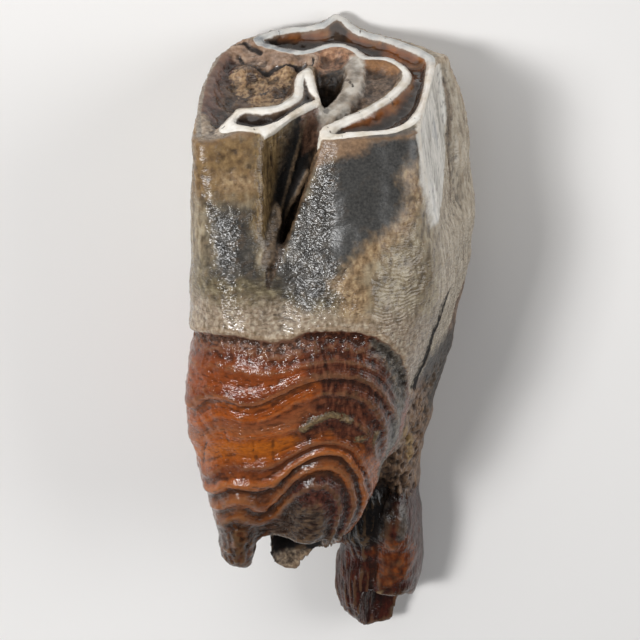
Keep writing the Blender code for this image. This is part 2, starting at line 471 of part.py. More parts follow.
def tooth():
    body = joined([
        loft("trunk", TRUNK),
        loft("inner_roots", INNER_ROOTS),
        loft("front_root", FRONT_ROOT),
        loft("back_root", BACK_ROOT),
    ], "tooth")
    modified(body, "REMESH", mode="VOXEL", voxel_size=BODY_VOXEL)
    cutters = [wear_cutter(CARVE_VOXEL)] + [loft(name, outlines) for name, outlines in ROOT_CUTS.items()]
    for cutter in cutters:
        modified(body, "BOOLEAN", operation="DIFFERENCE", object=cutter)
        bpy.data.objects.remove(cutter)
    modified(body, "REMESH", mode="VOXEL", voxel_size=CARVE_VOXEL)
    modified(body, "SMOOTH", factor=0.5, iterations=2)
    round_brows(body, CARVE_VOXEL)
    points, normals = vertex_arrays(body.data)
    points = carve(points, normals)
    points[:, 2] = np.maximum(points[:, 2], REST_LEVEL)
    points += np.array(FRAME_SHIFT) - (0, 0, REST_LEVEL)
    place(body.data, points)
    share = TRIANGLES / (2 * len(body.data.polygons))
    modified(body, "DECIMATE", ratio=share)
    body.data.transform(Matrix.Scale(MM, 4))
    return body


def fossil_material():
    material = bpy.data.materials.new("fossil_tooth")
    material.use_nodes = True
    shader = material.node_tree.nodes["Principled BSDF"]
    shader.inputs["Base Color"].default_value = (0.23, 0.15, 0.09, 1)
    shader.inputs["Metallic"].default_value = 0
    shader.inputs["Roughness"].default_value = 0.42
    material.diffuse_color = (0.23, 0.15, 0.09, 1)
    return material


def main():
    for obj in list(bpy.data.objects):
        bpy.data.objects.remove(obj)
    collection = bpy.data.collections.new("Woolly rhino tooth")
    bpy.context.scene.collection.children.link(collection)
    body = tooth()
    body.data.materials.append(fossil_material())
    body.data.shade_smooth()
    bpy.context.scene.collection.objects.unlink(body)
    collection.objects.link(body)


main()
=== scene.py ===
"""Looks of the fossil woolly rhino tooth: the fine surface, its materials, the light, the floor and the camera.

The tooth's form is lofted, cut and carved exactly as in the CAD part, but on a finer grid, and then gets the small
relief that the CAD solid leaves out. Masks worked out at each point steer one procedural material.

Directions while modelling, in millimetres: +Y is the chewing surface, -Y the root tips, +X the front of the jaw and
+Z the tongue side, which faces up. Everything is shifted and scaled to metres at the end.
"""

import functools

import bmesh
import bpy
import numpy as np
from mathutils import Matrix, Vector, noise


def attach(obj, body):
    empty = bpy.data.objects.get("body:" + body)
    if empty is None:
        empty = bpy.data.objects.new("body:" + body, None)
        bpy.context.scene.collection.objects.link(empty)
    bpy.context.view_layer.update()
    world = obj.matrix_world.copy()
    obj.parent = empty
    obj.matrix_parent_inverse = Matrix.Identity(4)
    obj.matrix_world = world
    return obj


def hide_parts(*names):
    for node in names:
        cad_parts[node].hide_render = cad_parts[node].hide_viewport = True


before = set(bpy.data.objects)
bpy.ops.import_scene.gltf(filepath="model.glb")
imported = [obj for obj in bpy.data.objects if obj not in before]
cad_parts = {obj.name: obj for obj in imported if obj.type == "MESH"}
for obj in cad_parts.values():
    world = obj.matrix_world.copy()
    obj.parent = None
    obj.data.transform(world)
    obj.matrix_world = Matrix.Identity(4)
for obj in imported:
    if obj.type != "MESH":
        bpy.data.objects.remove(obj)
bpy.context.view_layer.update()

MM = 0.001
WEAR_HEIGHT = 32.6  # height of the chewing surface at its tongue-side edge
WEAR_EDGE_Z = 33.0  # where that edge is
WEAR_RISE = 0.272  # rise of the chewing surface for each mm towards the cheek
ENAMEL = 1.5  # width of the worn enamel lines
NECK_LIP = 0.9  # how far the enamel stands out past the root at the neck
REST_LEVEL = 1.3  # the cheek side is ground flat up to here, so that the tooth lies on it
FRAME_SHIFT = (-1.7, 6.3, 0.0)  # from the modelling origin to the middle of the footprint
BODY_VOXEL, FINE_VOXEL = 0.6, 0.41  # grid sizes before and after the cuts
CURVE_STEPS = 6  # points of a smooth curve for each one given

# Cross-sections of crown and upper root: height, then (x, z) from the cheek-side back corner round by the front.
TRUNK = [
    (48, [(-13, 8), (-7, 4.4), (-2, 3.8), (3.4, 3.2), (16.8, 9.6), (16.4, 13), (13.7, 30), (9, 31.4), (2, 33),
          (-5, 31), (-12, 30.4), (-16.7, 32.6), (-17, 24), (-15.8, 13)]),
    (38, [(-13.6, 7.4), (-7, 3.6), (-2, 3.4), (3.4, 2.6), (18, 9), (16.9, 13), (13.9, 30.6), (9.4, 31.9),
          (2.2, 33.4), (-5, 31.2), (-12, 30.7), (-16.8, 33), (-17.3, 24), (-16.2, 13)]),
    (30, [(-14.6, 6), (-7.5, 1.8), (-2, 2.6), (3.8, 1), (20.9, 8), (18.2, 15), (14.5, 30.6), (9.2, 33.6), (2.4, 34.4),
          (-5, 32.4), (-12, 32.6), (-17.4, 32.6), (-17.8, 24), (-16.8, 14)]),
    (20, [(-15.2, 5), (-8, 0.4), (-2, 2), (4.4, 0), (21.8, 7), (19.6, 17), (15.4, 31), (9.4, 35.6), (3, 36.2),
          (-5, 34), (-12, 35), (-17.7, 32.4), (-18.1, 24), (-17.2, 13)]),
    (10, [(-15.6, 4.6), (-8, 0), (-2, 1.8), (5, -0.4), (22.2, 6), (21.3, 17), (17, 30.6), (9.5, 37.4), (3.4, 38.4),
          (-5, 37.2), (-12, 37.6), (-17.9, 32.6), (-18.5, 24), (-17.6, 13)]),
    (2, [(-15.6, 5), (-8, 0.2), (-2, 2.2), (5.4, 0), (21.3, 6), (20, 17), (15.8, 30.4), (9.6, 38), (3.4, 39.4),
         (-4, 39.8), (-12, 38.4), (-18.3, 33), (-18.9, 24), (-18, 14)]),
    (-6, [(-15, 7), (-8, 1.2), (-1.6, 3.4), (6, 0.8), (20.2, 5.6), (18.6, 16), (14, 29), (9, 36.4), (3.4, 38),
          (-4, 38), (-12, 37), (-18.9, 31.4), (-18.9, 24), (-17.4, 15)]),
    (-14, [(-13.6, 9), (-8, 3.4), (-1, 5), (6, 2.4), (18.2, 6), (16.4, 14.4), (12.6, 25.6), (8, 34), (3, 35.4),
           (-3.4, 35.6), (-11.5, 35), (-18.9, 29.4), (-18.2, 23), (-15.6, 16)]),
    (-20, [(-11.6, 13), (-8, 9), (-1, 9), (6, 7), (13.8, 9.4), (12.6, 15), (9.8, 24.6), (7, 31.4), (2, 33),
           (-4, 33), (-11, 33.2), (-17.7, 27.4), (-16.6, 22), (-14, 17)]),
]
# The broad tongue-side root with its two blunt lobes.
INNER_ROOTS = [
    (-8, [(-16, 18), (-2, 17), (11, 20), (12.4, 26), (7.6, 34), (-2, 36), (-6.5, 35.4), (-12, 35.6), (-17.6, 30)]),
    (-18, [(-16.3, 18), (-2, 15), (8.6, 18), (10, 25), (6.4, 32), (-1, 34.6), (-6.8, 33), (-12, 33.6), (-18, 28)]),
    (-25, [(-15, 18.6), (-3, 15), (6, 18), (8, 24), (5.4, 30), (-1, 32.6), (-7.2, 29.6), (-12, 31.6), (-16.5, 27)]),
    (-31, [(-14.2, 20), (-4, 16), (2.4, 18), (4.8, 22.6), (2.2, 28), (-2.4, 30.4), (-7.8, 27), (-12, 29.6),
           (-15.3, 26)]),
    (-36.4, [(-13.6, 21.4), (-5, 16.4), (-0.6, 17), (0.2, 21), (-1.2, 25), (-4, 26.8), (-8, 24.4), (-11.4, 27),
             (-14.2, 25)]),
    (-39.6, [(-10, 20), (-5.4, 16.2), (-3.2, 16.2), (-2.2, 18), (-2.8, 20.4), (-4.6, 21), (-6.4, 21), (-8.4, 21.4),
             (-10.4, 21.4)]),
    (-41.4, [(-6.9, 17.8), (-5.6, 16.2), (-3.4, 16.2), (-2.2, 17), (-2.4, 18.4), (-3.6, 18.8), (-5, 18.9), (-6, 18.9),
             (-6.8, 18.8)]),
]
FRONT_ROOT = [  # the narrow root under the front of the crown
    (-6, [(4, 5), (11, 2), (17, 5), (17.6, 11), (13, 18), (6, 17)]),
    (-16, [(2.6, 6), (10, 2.6), (16.4, 5), (17.2, 11), (12.6, 18), (5.4, 17.6)]),
    (-26, [(2.4, 7), (9, 3), (14.6, 5), (15.4, 10), (12, 16.4), (5, 15.4)]),
    (-36.6, [(2.6, 7.6), (8.6, 3), (14.6, 4.6), (15.9, 9), (12.4, 15.4), (5.6, 13.4)]),
    (-39.2, [(0.6, 9.6), (8.6, 2.8), (14.6, 4.5), (16, 9), (12.5, 14.2), (5.4, 12)]),
    (-40.6, [(2.8, 7.6), (8.6, 2.6), (14.6, 4.4), (16, 8.8), (12.6, 13.8), (5.8, 11.8)]),
    (-43, [(2.5, 6.6), (8.6, 2.6), (14.6, 4.4), (16, 8.6), (12.6, 13.4), (6, 11.4)]),
    (-48.4, [(2.4, 6.6), (8.6, 3), (13.2, 4.4), (15.2, 7.8), (12, 11.8), (5.8, 11)]),
    (-51.4, [(3, 6.4), (8.8, 3.2), (11.8, 4.6), (12.4, 7.2), (10.8, 10), (5.8, 10.4)]),
    (-53.4, [(4.6, 6.4), (9, 3.4), (11.6, 4.4), (12, 7), (10.4, 9.4), (6.6, 9.8)]),
    (-55.7, [(7.2, 6), (9.2, 3.8), (11.2, 4.6), (11.6, 6.8), (10.2, 8.6), (8, 8.6)]),
]
BACK_ROOT = [  # the stub behind the broad root
    (-4, [(-14.6, 8), (-8, 3), (-3, 5), (-3.4, 13), (-9, 17), (-14.6, 14)]),
    (-16, [(-13.8, 9), (-8, 4.4), (-3.4, 6.6), (-4, 13), (-9, 16.4), (-13.6, 14)]),
    (-26, [(-12.6, 9.4), (-8, 6), (-4.4, 8), (-5, 12.6), (-8.6, 15), (-12, 13)]),
    (-33, [(-11, 10), (-8.4, 8), (-6, 9), (-6, 11.6), (-8.4, 13), (-10.4, 12)]),
]

# Lines of worn enamel on the chewing surface, as (x, z) along the middle of the enamel.
MAIN_LOOP = [
    (-9.1, 6.4), (-7.4, 4.8), (-4.9, 4.2), (-2.4, 3.9), (0, 4), (2.7, 3.4), (5, 4.6), (9, 6.2), (12.6, 8.2),
    (15.8, 10.4), (16, 14), (15.2, 21.7), (14, 26.4), (12.4, 29.2), (9.8, 30.8), (6, 32), (2, 32.6), (0.3, 31.9),
    (1.8, 29.7), (3.9, 28.1), (6.7, 26), (9.5, 22.9), (11.4, 20.1), (12.5, 17.1), (12.2, 14.4), (9.7, 12.3),
    (6.6, 12), (5.3, 10), (3.6, 8.6), (1.3, 8.4), (-2.6, 9.7), (-4.8, 9.3), (-7, 8.3),
]
BACK_LOOP = [
    (-1.9, 15.2), (-1.4, 17.7), (-1, 20), (0, 22.5), (-1.3, 24.1), (-3, 25.9), (-4.9, 28.1), (-6.9, 29.6),
    (-9, 30.2), (-11.4, 29.8), (-12.9, 28.2), (-12.2, 26.4), (-10.4, 25.7), (-8.2, 25.9), (-6, 25.4), (-4.3, 24),
    (-3.3, 22.3), (-3, 20.2), (-3, 17.8),
]
BACK_POCKET = [  # the shallow pocket between the loops, with its shelf
    (-15.6, 30.6), (-16.4, 24), (-15.6, 15), (-13.4, 8.6), (-10.2, 6.6), (-7.2, 9.6), (-2.8, 10.7), (-1.2, 12),
    (-3.6, 16), (-4.2, 21), (-6, 24), (-9, 24.6), (-12.2, 24.8), (-14, 27.4),
]
VALLEY = [  # the valley, from the middle of the tooth out past its tongue side
    (-8.4, 50), (-8.4, 34), (-7.9, 30.4), (-5.4, 28.8), (-3.6, 27), (-1.9, 25), (0, 23.6), (-0.2, 20.4), (-0.7, 17),
    (-1.2, 13.6), (0, 10), (2.6, 9.4), (4.5, 10.6), (6.4, 13), (9.4, 13.2), (11.4, 15), (11.6, 17.2), (10.6, 19.8),
    (8.8, 22.2), (6, 25.2), (3.2, 27.2), (1.1, 29.2), (-0.2, 31), (-0.3, 34), (-0.3, 50),
]
# The valley from the middle of the tooth to the tongue side: z, floor x, floor y, right edge x, left edge x.
VALLEY_RUN = [
    (22, 1.2, 15, 8.6, 0.2), (25, 0.2, 14, 6, -1.2), (27, -1.8, 13, 3.6, -3.6), (29, -4, 12.2, 1.4, -5.8),
    (31, -5.8, 12, 0.2, -7.8), (34, -7.1, 11.6, 0, -8.4), (37, -7.5, 12.4, 0.2, -8.8), (50, -7.6, 19, 0.4, -9.2),
]
# Depths below the chewing surface inside the valley's inner end: x, z, depth, reach.
VALLEY_DEPTHS = [
    (1.2, 17, 11, 1.6), (1.4, 12, 1.6, 2.2), (4.6, 13, 1, 1.4), (8.8, 15, 1.4, 2.4),
    (8.2, 19.6, 2, 2), (5.8, 23, 3.6, 1.7), (4.6, 17.8, 0.8, 1.5), (1.4, 21, 6, 1.2), (2, 26, 6, 1.6),
]
FOLD = [(4.9, 12.6), (5.2, 15.4), (4.6, 18.6), (3, 21.4), (1, 23.8)]  # enamel fold beside the round pit

# Hollows and breaks at the root ends: closed outlines placed along Y, as for the roots.
ROOT_CUTS = {
    "inner_pulp": [
        (-25, [(-4.6, 22.6), (-2.6, 23), (-2.6, 24.6), (-4.6, 25)]),
        (-29, [(-5.8, 20), (-1.6, 20.4), (-1, 26.2), (-5.6, 26.4)]),
        (-34, [(-6.5, 18), (-1.6, 18), (-0.4, 26), (-6.3, 26)]),
        (-37, [(-6.6, 18.4), (-2, 18.2), (-0.6, 26.4), (-6.4, 26.6)]),
        (-42, [(-6.6, 20.4), (-2.4, 20.2), (-0.6, 26.4), (-6.4, 26.6)]),
    ],
    "inner_break": [
        (-30.6, [(-4.6, 26), (0.2, 25), (1.4, 44), (-4.4, 44)]),
        (-31.6, [(-8, 25), (1, 23.6), (2.2, 44), (-8, 44)]),
        (-34, [(-8, 23.6), (1, 21.6), (3, 44), (-8, 44)]),
        (-37, [(-8.2, 21.6), (0.4, 19.6), (3, 44), (-8.1, 44)]),
        (-44, [(-8.4, 19.6), (-0.2, 18.2), (2.6, 44), (-8.2, 44)]),
    ],
    "root_notch": [
        (-31.4, [(-9, 10), (-8.4, 10), (-7, 44), (-9, 44)]),
        (-33, [(-9.3, 10), (-8.3, 10), (-6.6, 44), (-9.3, 44)]),
        (-36, [(-9.9, 10), (-8.2, 10), (-6.4, 44), (-9.9, 44)]),
        (-38.6, [(-10.6, 10), (-8.1, 10), (-6.3, 44), (-10.6, 44)]),
        (-40.4, [(-11.2, 10), (-7, 10), (-5.6, 44), (-11.2, 44)]),
        (-42, [(-11.4, 10), (-4.6, 10), (-3.6, 44), (-11.4, 44)]),
        (-44, [(-11.4, 10), (-3, 10), (-2, 44), (-11.4, 44)]),
    ],
    "back_stub_end": [
        (-36.4, [(-18, 8), (-12, 8), (-8.4, 44), (-18, 44)]),
        (-38, [(-20, 8), (-9, 8), (-8.2, 44), (-20, 44)]),
        (-46, [(-20, 8), (-8, 8), (-8, 44), (-20, 44)]),
    ],
    "back_stub_pulp": [
        (-33, [(-12.4, 23), (-11, 23), (-11, 24.6), (-12.4, 24.6)]),
        (-35.4, [(-13, 22.6), (-10.6, 22.6), (-10.4, 25.4), (-12.8, 25.6)]),
        (-44, [(-13.6, 22), (-10, 22), (-9.8, 26), (-13.2, 26)]),
    ],
    "front_root_break": [
        (-48.2, [(7.6, 7.6), (12.8, 7.2), (13.2, 20), (7.4, 20)]),
        (-51, [(7.2, 7.2), (14.4, 6.8), (15, 20), (7.2, 20)]),
        (-60, [(6.8, 7), (15, 6.4), (15, 20), (6.8, 20)]),
    ],
}

# Growth marks on the tongue-side root, as (x, y) along each; the key is the distance down from the neck.
GROWTH_MARKS = {
    0: [(-18.5, 3.6), (-16.4, 4.4), (-12, 5), (-8.9, 4.6), (-6.5, 4.3), (-4, 4.8), (-1.6, 5.8), (1.5, 5.9),
        (5.1, 5.7), (7.9, 4.9), (9.8, 3.3), (11.4, 1.1), (12.4, -2.1), (12.8, -5.2)],
    3.2: [(-18.5, 0.6), (-15.2, 1.4), (-12, 1.7), (-8.3, 1.1), (-5.3, 0.9), (-2.8, 1.9), (0.2, 2.2), (5.1, 1.8),
          (7.9, 0.5), (10.1, -2.1), (11.5, -6.2)],
    6.6: [(-18.3, -8.2), (-15.9, -4.9), (-13.3, -4.4), (-11.2, -5.4), (-9, -5.1), (-5.3, -3.1), (-2.8, -1.5),
          (-1, -0.8), (1.5, -0.6), (5.2, -1), (7.6, -2.5), (9.5, -4.9), (10.6, -8.4), (10.9, -13), (10.2, -17.3)],
    9.4: [(-18, -11.2), (-14.7, -7.9), (-11.2, -8.4), (-8.4, -8.1), (-4.1, -4.8), (-1.6, -3.6), (0.2, -3.2),
          (3.3, -3.4), (6.4, -4.6), (8.3, -7.1), (9.4, -11.2), (9.2, -16)],
    12.6: [(-17.8, -14.3), (-14.8, -11.4), (-11.3, -11.6), (-8.2, -11), (-5.3, -10.2), (-2.9, -9.8), (-1, -8.7),
           (0.9, -7.9), (3, -8.1), (5.2, -9), (7.4, -11.5), (8.2, -16.5)],
    17.4: [(-16.5, -19.9), (-14.3, -17.4), (-12.3, -16.4), (-8.5, -16.4), (-6, -15.7), (-4.1, -14.4), (-1.6, -12.5),
           (0.9, -12), (3.4, -12.5), (5.6, -14.8), (7, -19), (7.4, -23.4)],
    19.4: [(-15.2, -22.1), (-14.3, -20.6), (-11.4, -20.2), (-8.6, -20.7), (-6.7, -19.4), (-4.8, -17.7),
           (-2.9, -15.5), (-1, -14.1), (1.5, -13.3), (4, -14.4), (5.9, -18), (6.5, -22.8), (5.6, -27.4), (3.6, -31)],
    22: [(-14.6, -25.1), (-13.4, -23.2), (-11.8, -22.1), (-10.2, -23.2), (-9.3, -25.2), (-8.1, -25.7),
         (-6.4, -23.7), (-5.1, -21.4), (-3.8, -18.4), (-2.3, -17.1), (0.3, -16.4), (2.8, -17.1), (4.4, -20.9),
         (4.8, -25.1), (3.5, -29.5)],
    25: [(-14.4, -28.7), (-12.8, -26.2), (-11.5, -25.9), (-10.3, -27.1), (-9.2, -28.2), (-6.8, -27),
         (-5.5, -24.5), (-3.9, -21.9), (-2, -20), (0.3, -19.5), (2.2, -20.8), (3.1, -23.9), (2.2, -28.9)],
    28.4: [(-14.3, -32.2), (-12.6, -28.7), (-11, -29.1), (-9.7, -30.9), (-6.8, -30.6), (-4.2, -25.4), (-1.6, -23.3),
           (0.3, -24.2), (0.8, -29)],
}
# Steps at the growth marks: level, height, reach above, reach below, and share left at the back and at the front.
STEPS = [
    (2.4, 0.25, 0.7, 0.5, 1, 1), (4.2, 0.25, 0.6, 0.5, 1, 1), (6.7, 1, 1.3, 0.5, 1, 0.6),
    (9.5, 0.6, 1.1, 0.5, 0.3, 0.7), (12.6, 0.3, 0.8, 0.6, 0.8, 1), (17.4, 0.55, 0.9, 0.6, 1, 1),
    (19.5, 0.9, 0.9, 0.6, 1, 1), (22.1, 0.75, 1, 0.6, 1, 1), (25.2, 0.55, 0.9, 0.7, 0.6, 1),
    (28.4, 0.4, 0.8, 0.8, 0.3, 1),
]
CRACK = [  # where the front plate of bone has split from the crown
    (19.8, 14, 22.4), (19.6, 10, 23.2), (19.2, 7.6, 25), (18.6, 6.6, 26.4), (18, 5.6, 27.4), (17.7, 4, 27.4),
    (16.9, 2.3, 28.1), (16.3, 0.2, 28.3), (15.7, -1.8, 28.5), (15.1, -3.4, 28.6), (14.4, -5, 28.9),
    (13.9, -6.3, 28.9),
]
CRACK_OPENS = (0, 0.342, 0.94)  # the way the crack opens
FACET_POINT = (13.9, 33.2, 30.6)  # flat worn by the neighbouring tooth
FACET_NORMAL = (0.966, 0.162, 0.204)
VALLEY_BROWS = [  # edges where the lobes round over into the valley, with the width rounded
    ([(-8.2, 33, 32.5), (-8.3, 28, 33), (-8.3, 21, 34), (-7.6, 14.5, 35.2)], 3.6),
    ([(-7, 14.6, 35), (-5.3, 20.2, 34.3), (-3.6, 24.2, 33.8), (-1.3, 28, 33.5), (-0.2, 30.6, 33.2)], 2.2),
]
DENTS = [  # centre, radius, depth
    ((9.9, -29, 15.5), 3, 3), ((4, -27, 16), 3, 1.4), ((13.6, -12.5, 24), 2.6, 0.9),
    ((-17.6, 5.8, 30), 1.6, 0.7), ((2.4, -40, 9), 2.4, 0.8), ((-6.4, 8, 38), 3.4, 0.7),
]
FRONT_GROOVE = [(8.6, -33, 15.6), (8.4, -40, 13.6), (8, -47, 11.6), (7.6, -53, 9.6)]  # runs down the front root


def spline(points, count, closed):
    """Catmull-Rom curve through the points, with count steps to each span."""
    points = np.array(points, float)
    last = len(points) - 1
    out = []
    for i in range(last + 1 if closed else last):
        near = [i + k for k in (-1, 0, 1, 2)]
        near = [k % (last + 1) for k in near] if closed else np.clip(near, 0, last)
        a, b, c, d = points[near]
        for t in np.arange(count) / count:
            curve = 2 * b + (c - a) * t + (2 * a - 5 * b + 4 * c - d) * t**2 + (3 * b - a - 3 * c + d) * t**3
            out.append(0.5 * curve)
    return np.array(out if closed else out + [points[-1]])


MAIN_RIM, BACK_RIM = spline(MAIN_LOOP, 3, closed=True), spline(BACK_LOOP, 3, closed=True)


def object_from(bm, name):
    """Turns the built faces into an object of the scene."""
    mesh = bpy.data.meshes.new(name)
    bm.to_mesh(mesh)
    bm.free()
    obj = bpy.data.objects.new(name, mesh)
    bpy.context.scene.collection.objects.link(obj)
    return obj


def band_of_faces(bm, loops):
    """Fills the strip between each closed ring of vertices and the next."""
    for low, high in zip(loops, loops[1:]):
        for i in range(len(low)):
            j = (i + 1) % len(low)
            bm.faces.new((low[i], low[j], high[j], high[i]))


def loft(name, sections):
    """Closed body through outlines placed along Y; each outline is a smooth closed curve."""
    rings = np.array([spline(points, CURVE_STEPS, closed=True) for _, points in sections])
    tall = np.array([spline(column, CURVE_STEPS, closed=False) for column in rings.transpose(1, 0, 2)])
    ys = spline([(y,) for y, _ in sections], CURVE_STEPS, closed=False)[:, 0]
    bm = bmesh.new()
    loops = [[bm.verts.new((x, y, z)) for x, z in ring] for y, ring in zip(ys, tall.transpose(1, 0, 2))]
    band_of_faces(bm, loops)
    for ring in (loops[0], loops[-1]):
        middle = bm.verts.new(sum((v.co for v in ring), Vector()) / len(ring))
        for i in range(len(ring)):
            bm.faces.new((ring[i], ring[(i + 1) % len(ring)], middle))
    bmesh.ops.recalc_face_normals(bm, faces=bm.faces)
    return object_from(bm, name)


def ramp(low, high, value):
    """0 at low, 1 at high, smooth between."""
    t = np.clip((value - low) / (high - low), 0, 1)
    return t * t * (3 - 2 * t)


def bump(value, middle, width):
    """1 at middle, falling off over width on either side."""
    return np.exp(-(((value - middle) / width) ** 2))


def distance_to_line(points, line, closed=False):
    """Distance of each 2-D or 3-D point from a line of straight pieces."""
    line = np.array(line, float)
    ends = np.roll(line, -1, axis=0) if closed else line[1:]
    nearest = np.full(len(points), 1e9)
    for a, b in zip(line, ends):
        along = b - a
        share = np.clip((points - a) @ along / max(along @ along, 1e-9), 0, 1)
        nearest = np.minimum(nearest, np.linalg.norm(points - a - share[:, None] * along, axis=1))
    return nearest


def depth_inside(points, outline):
    """How far each 2-D point lies inside a closed outline; negative outside it."""
    outline = np.array(outline, float)
    inside = np.zeros(len(points), bool)
    for a, b in zip(outline, np.roll(outline, -1, axis=0)):
        crosses = (a[1] > points[:, 1]) != (b[1] > points[:, 1])
        rise = b[1] - a[1] if b[1] != a[1] else 1e-9
        inside ^= crosses & (points[:, 0] < (b[0] - a[0]) * (points[:, 1] - a[1]) / rise + a[0])
    away = distance_to_line(points, outline, closed=True)
    return np.where(inside, away, -away)


def crack_gap(points):
    """Distance of each point from the crack, whatever its depth."""
    out, line = np.array(CRACK_OPENS), np.array(CRACK)
    gap = distance_to_line(points - (points @ out)[:, None] * out, line - (line @ out)[:, None] * out)
    return gap + 9 * ramp(9, 7, points[:, 0]) + 9 * ramp(14, 11, points[:, 2]) + 9 * ramp(7.5, 9, points[:, 1])


def rough(points, scale, octaves, seed):
    """Fractal noise of about -1 to 1 at each 3-D point; scale is the size of its lumps."""
    offset = Vector((seed, 2 * seed, -seed))
    return np.array([noise.fractal(Vector(p) / scale + offset, 1.0, 2.0, octaves) for p in points])


def wear_plane(x, z):
    """Height along Y of the worn surface before its hollows."""
    flat = WEAR_HEIGHT + WEAR_RISE * (WEAR_EDGE_Z - z)
    flat = flat + 1.5 * bump(x, 2.7, 1.7) * bump(z, 3.0, 2.4) + 0.8 * bump(x, 0, 6) * bump(z, 3, 4)
    return flat - 0.8 * bump(x, 18, 4) * bump(z, 9, 4) - 1.2 * ramp(-9, -18, x) * ramp(24, 34, z)


def chewing_surface(x, z):
    """Height along Y of the worn surface over each (x, z)."""
    plan, flat = np.column_stack([x, z]), wear_plane(x, z)
    height = flat.copy()
    for loop, bowl in ((MAIN_RIM, 1.3), (BACK_RIM, 1.2)):
        inside = depth_inside(plan, loop)
        height -= bowl * ramp(0.3 * ENAMEL, 0.95 * ENAMEL, inside) + 0.8 * ramp(1.5, 4, inside)
    pocket = depth_inside(plan, BACK_POCKET)
    lumps = rough(np.column_stack([x, z, 0 * x]), 3.0, 3, 7.0)
    shelf = ramp(13.4, 11.2, z + 0.9 * lumps + 0.1 * (x + 8)) * ramp(-14.4, -12.4, x)
    depth = 3.0 - 1.6 * shelf + 0.9 * lumps + 0.8 * bump(x, -9, 4) * bump(z, 20, 5)
    height -= ramp(-0.4, 1.2, pocket) * depth * (1 - 0.75 * ramp(-12.5, -15.5, x))
    height -= 1.1 * ramp(-11, -15, x) * ramp(4, 9, z) * ramp(33, 29, z)
    return np.where(depth_inside(plan, VALLEY) > 0, valley_height(plan, flat), height)


def valley_height(plan, flat):
    """Height of the valley's floor and sides: a bowl between the lobes that runs out into an open gutter."""
    x, z = plan.T
    run_z, *run = np.array(VALLEY_RUN).T
    floor_x, floor_y, right, left = (np.interp(z, run_z, column) for column in run)
    up_right = np.clip((x - floor_x) / (right - floor_x), 0, 1)
    up_left = np.clip((floor_x - x) / (floor_x - left), 0, 1) ** 1.3
    outer = floor_y + (flat - floor_y) * np.where(x > floor_x, up_right, up_left)
    weights = np.array([np.exp(-((x - a) ** 2 + (z - b) ** 2) / r**2) for a, b, _, r in VALLEY_DEPTHS]) + 1e-9
    depth = (weights * np.array([d for _, _, d, _ in VALLEY_DEPTHS])[:, None]).sum(0) / weights.sum(0)
    inner = flat - depth * ramp(0, 1.0, depth_inside(plan, VALLEY))
    fold = distance_to_line(plan, FOLD)
    crest = flat - 0.4 - 0.22 * np.clip(z - 17.5, 0, 9)
    inner = np.maximum(inner, crest - 2.2 * np.clip(fold - 1.1, 0, 9))
    blend = ramp(24.6, 27.4, z)
    return inner * (1 - blend) + outer * blend


def modified(obj, kind, **settings):
    """Adds a modifier, applies it and hands back the object."""
    modifier = obj.modifiers.new(kind.title(), kind)
    for key, value in settings.items():
        setattr(modifier, key, value)
    graph = bpy.context.evaluated_depsgraph_get()
    mesh = bpy.data.meshes.new_from_object(obj.evaluated_get(graph))
    obj.modifiers.clear()
    obj.data = mesh
    return obj


def joined(objects, name):
    """One object made of all the given ones."""
    bm = bmesh.new()
    for obj in objects:
        bm.from_mesh(obj.data)
        bpy.data.objects.remove(obj)
    return object_from(bm, name)


def wear_cutter(step):
    """Slab whose underside is the chewing surface, to cut it into the end of the crown."""
    side, middle_z, top_y = 60, 20, 70
    bm = bmesh.new()
    bmesh.ops.create_grid(bm, x_segments=int(side / step), y_segments=int(side / step), size=side / 2)
    x, z = np.array([v.co.xy for v in bm.verts]).T + [[0], [middle_z]]
    for vert, a, b, y in zip(bm.verts, x, z, chewing_surface(x, z)):
        vert.co = (a, y, b)
    made = bmesh.ops.extrude_face_region(bm, geom=list(bm.faces))
    for vert in (e for e in made["geom"] if isinstance(e, bmesh.types.BMVert)):
        vert.co.y = top_y
    bmesh.ops.recalc_face_normals(bm, faces=bm.faces)
    return object_from(bm, "wear_cutter")


def growth_level(face):
    """Distance down from the neck at each (x, y) of the tongue side, read off the growth marks."""
    marks = np.array([point for line in GROWTH_MARKS.values() for point in line], float)
    levels = np.array([level for level, line in GROWTH_MARKS.items() for _ in line])
    spread = np.linalg.norm(marks[:, None] - marks[None], axis=2)
    count = len(marks)
    plane = np.column_stack([np.ones(count), marks])
    system = np.block([[spread - 0.6 * np.eye(count), plane], [plane.T, np.zeros((3, 3))]])
    weights = np.linalg.solve(system, np.concatenate([levels, np.zeros(3)]))
    level = weights[count] + face @ weights[count + 1:]
    for mark, weight in zip(marks, weights[:count]):
        level += weight * np.linalg.norm(face - mark, axis=1)
    return level


def root_patch():
    """Outline in (x, y) of the smooth tongue-side root: the neck, then down its front edge and round."""
    front_edge = [(13, -9), (12.4, -13.4), (10.8, -18.4), (8.8, -23), (7.2, -27)]
    return GROWTH_MARKS[0] + front_edge + [(6, -44), (-30, -44), (-30, 3.8)]


def neck_height(x, z):
    """Height along Y of the neck off the tongue side, which dips where the crown runs down the front face."""
    along = np.interp(x, [-18, -8, -2, 5, 12, 20], [3.6, 1.6, 2.8, 0.8, 2.6, 4])
    return along - 9.5 * ramp(9, 13, x) * ramp(10, 16, z)


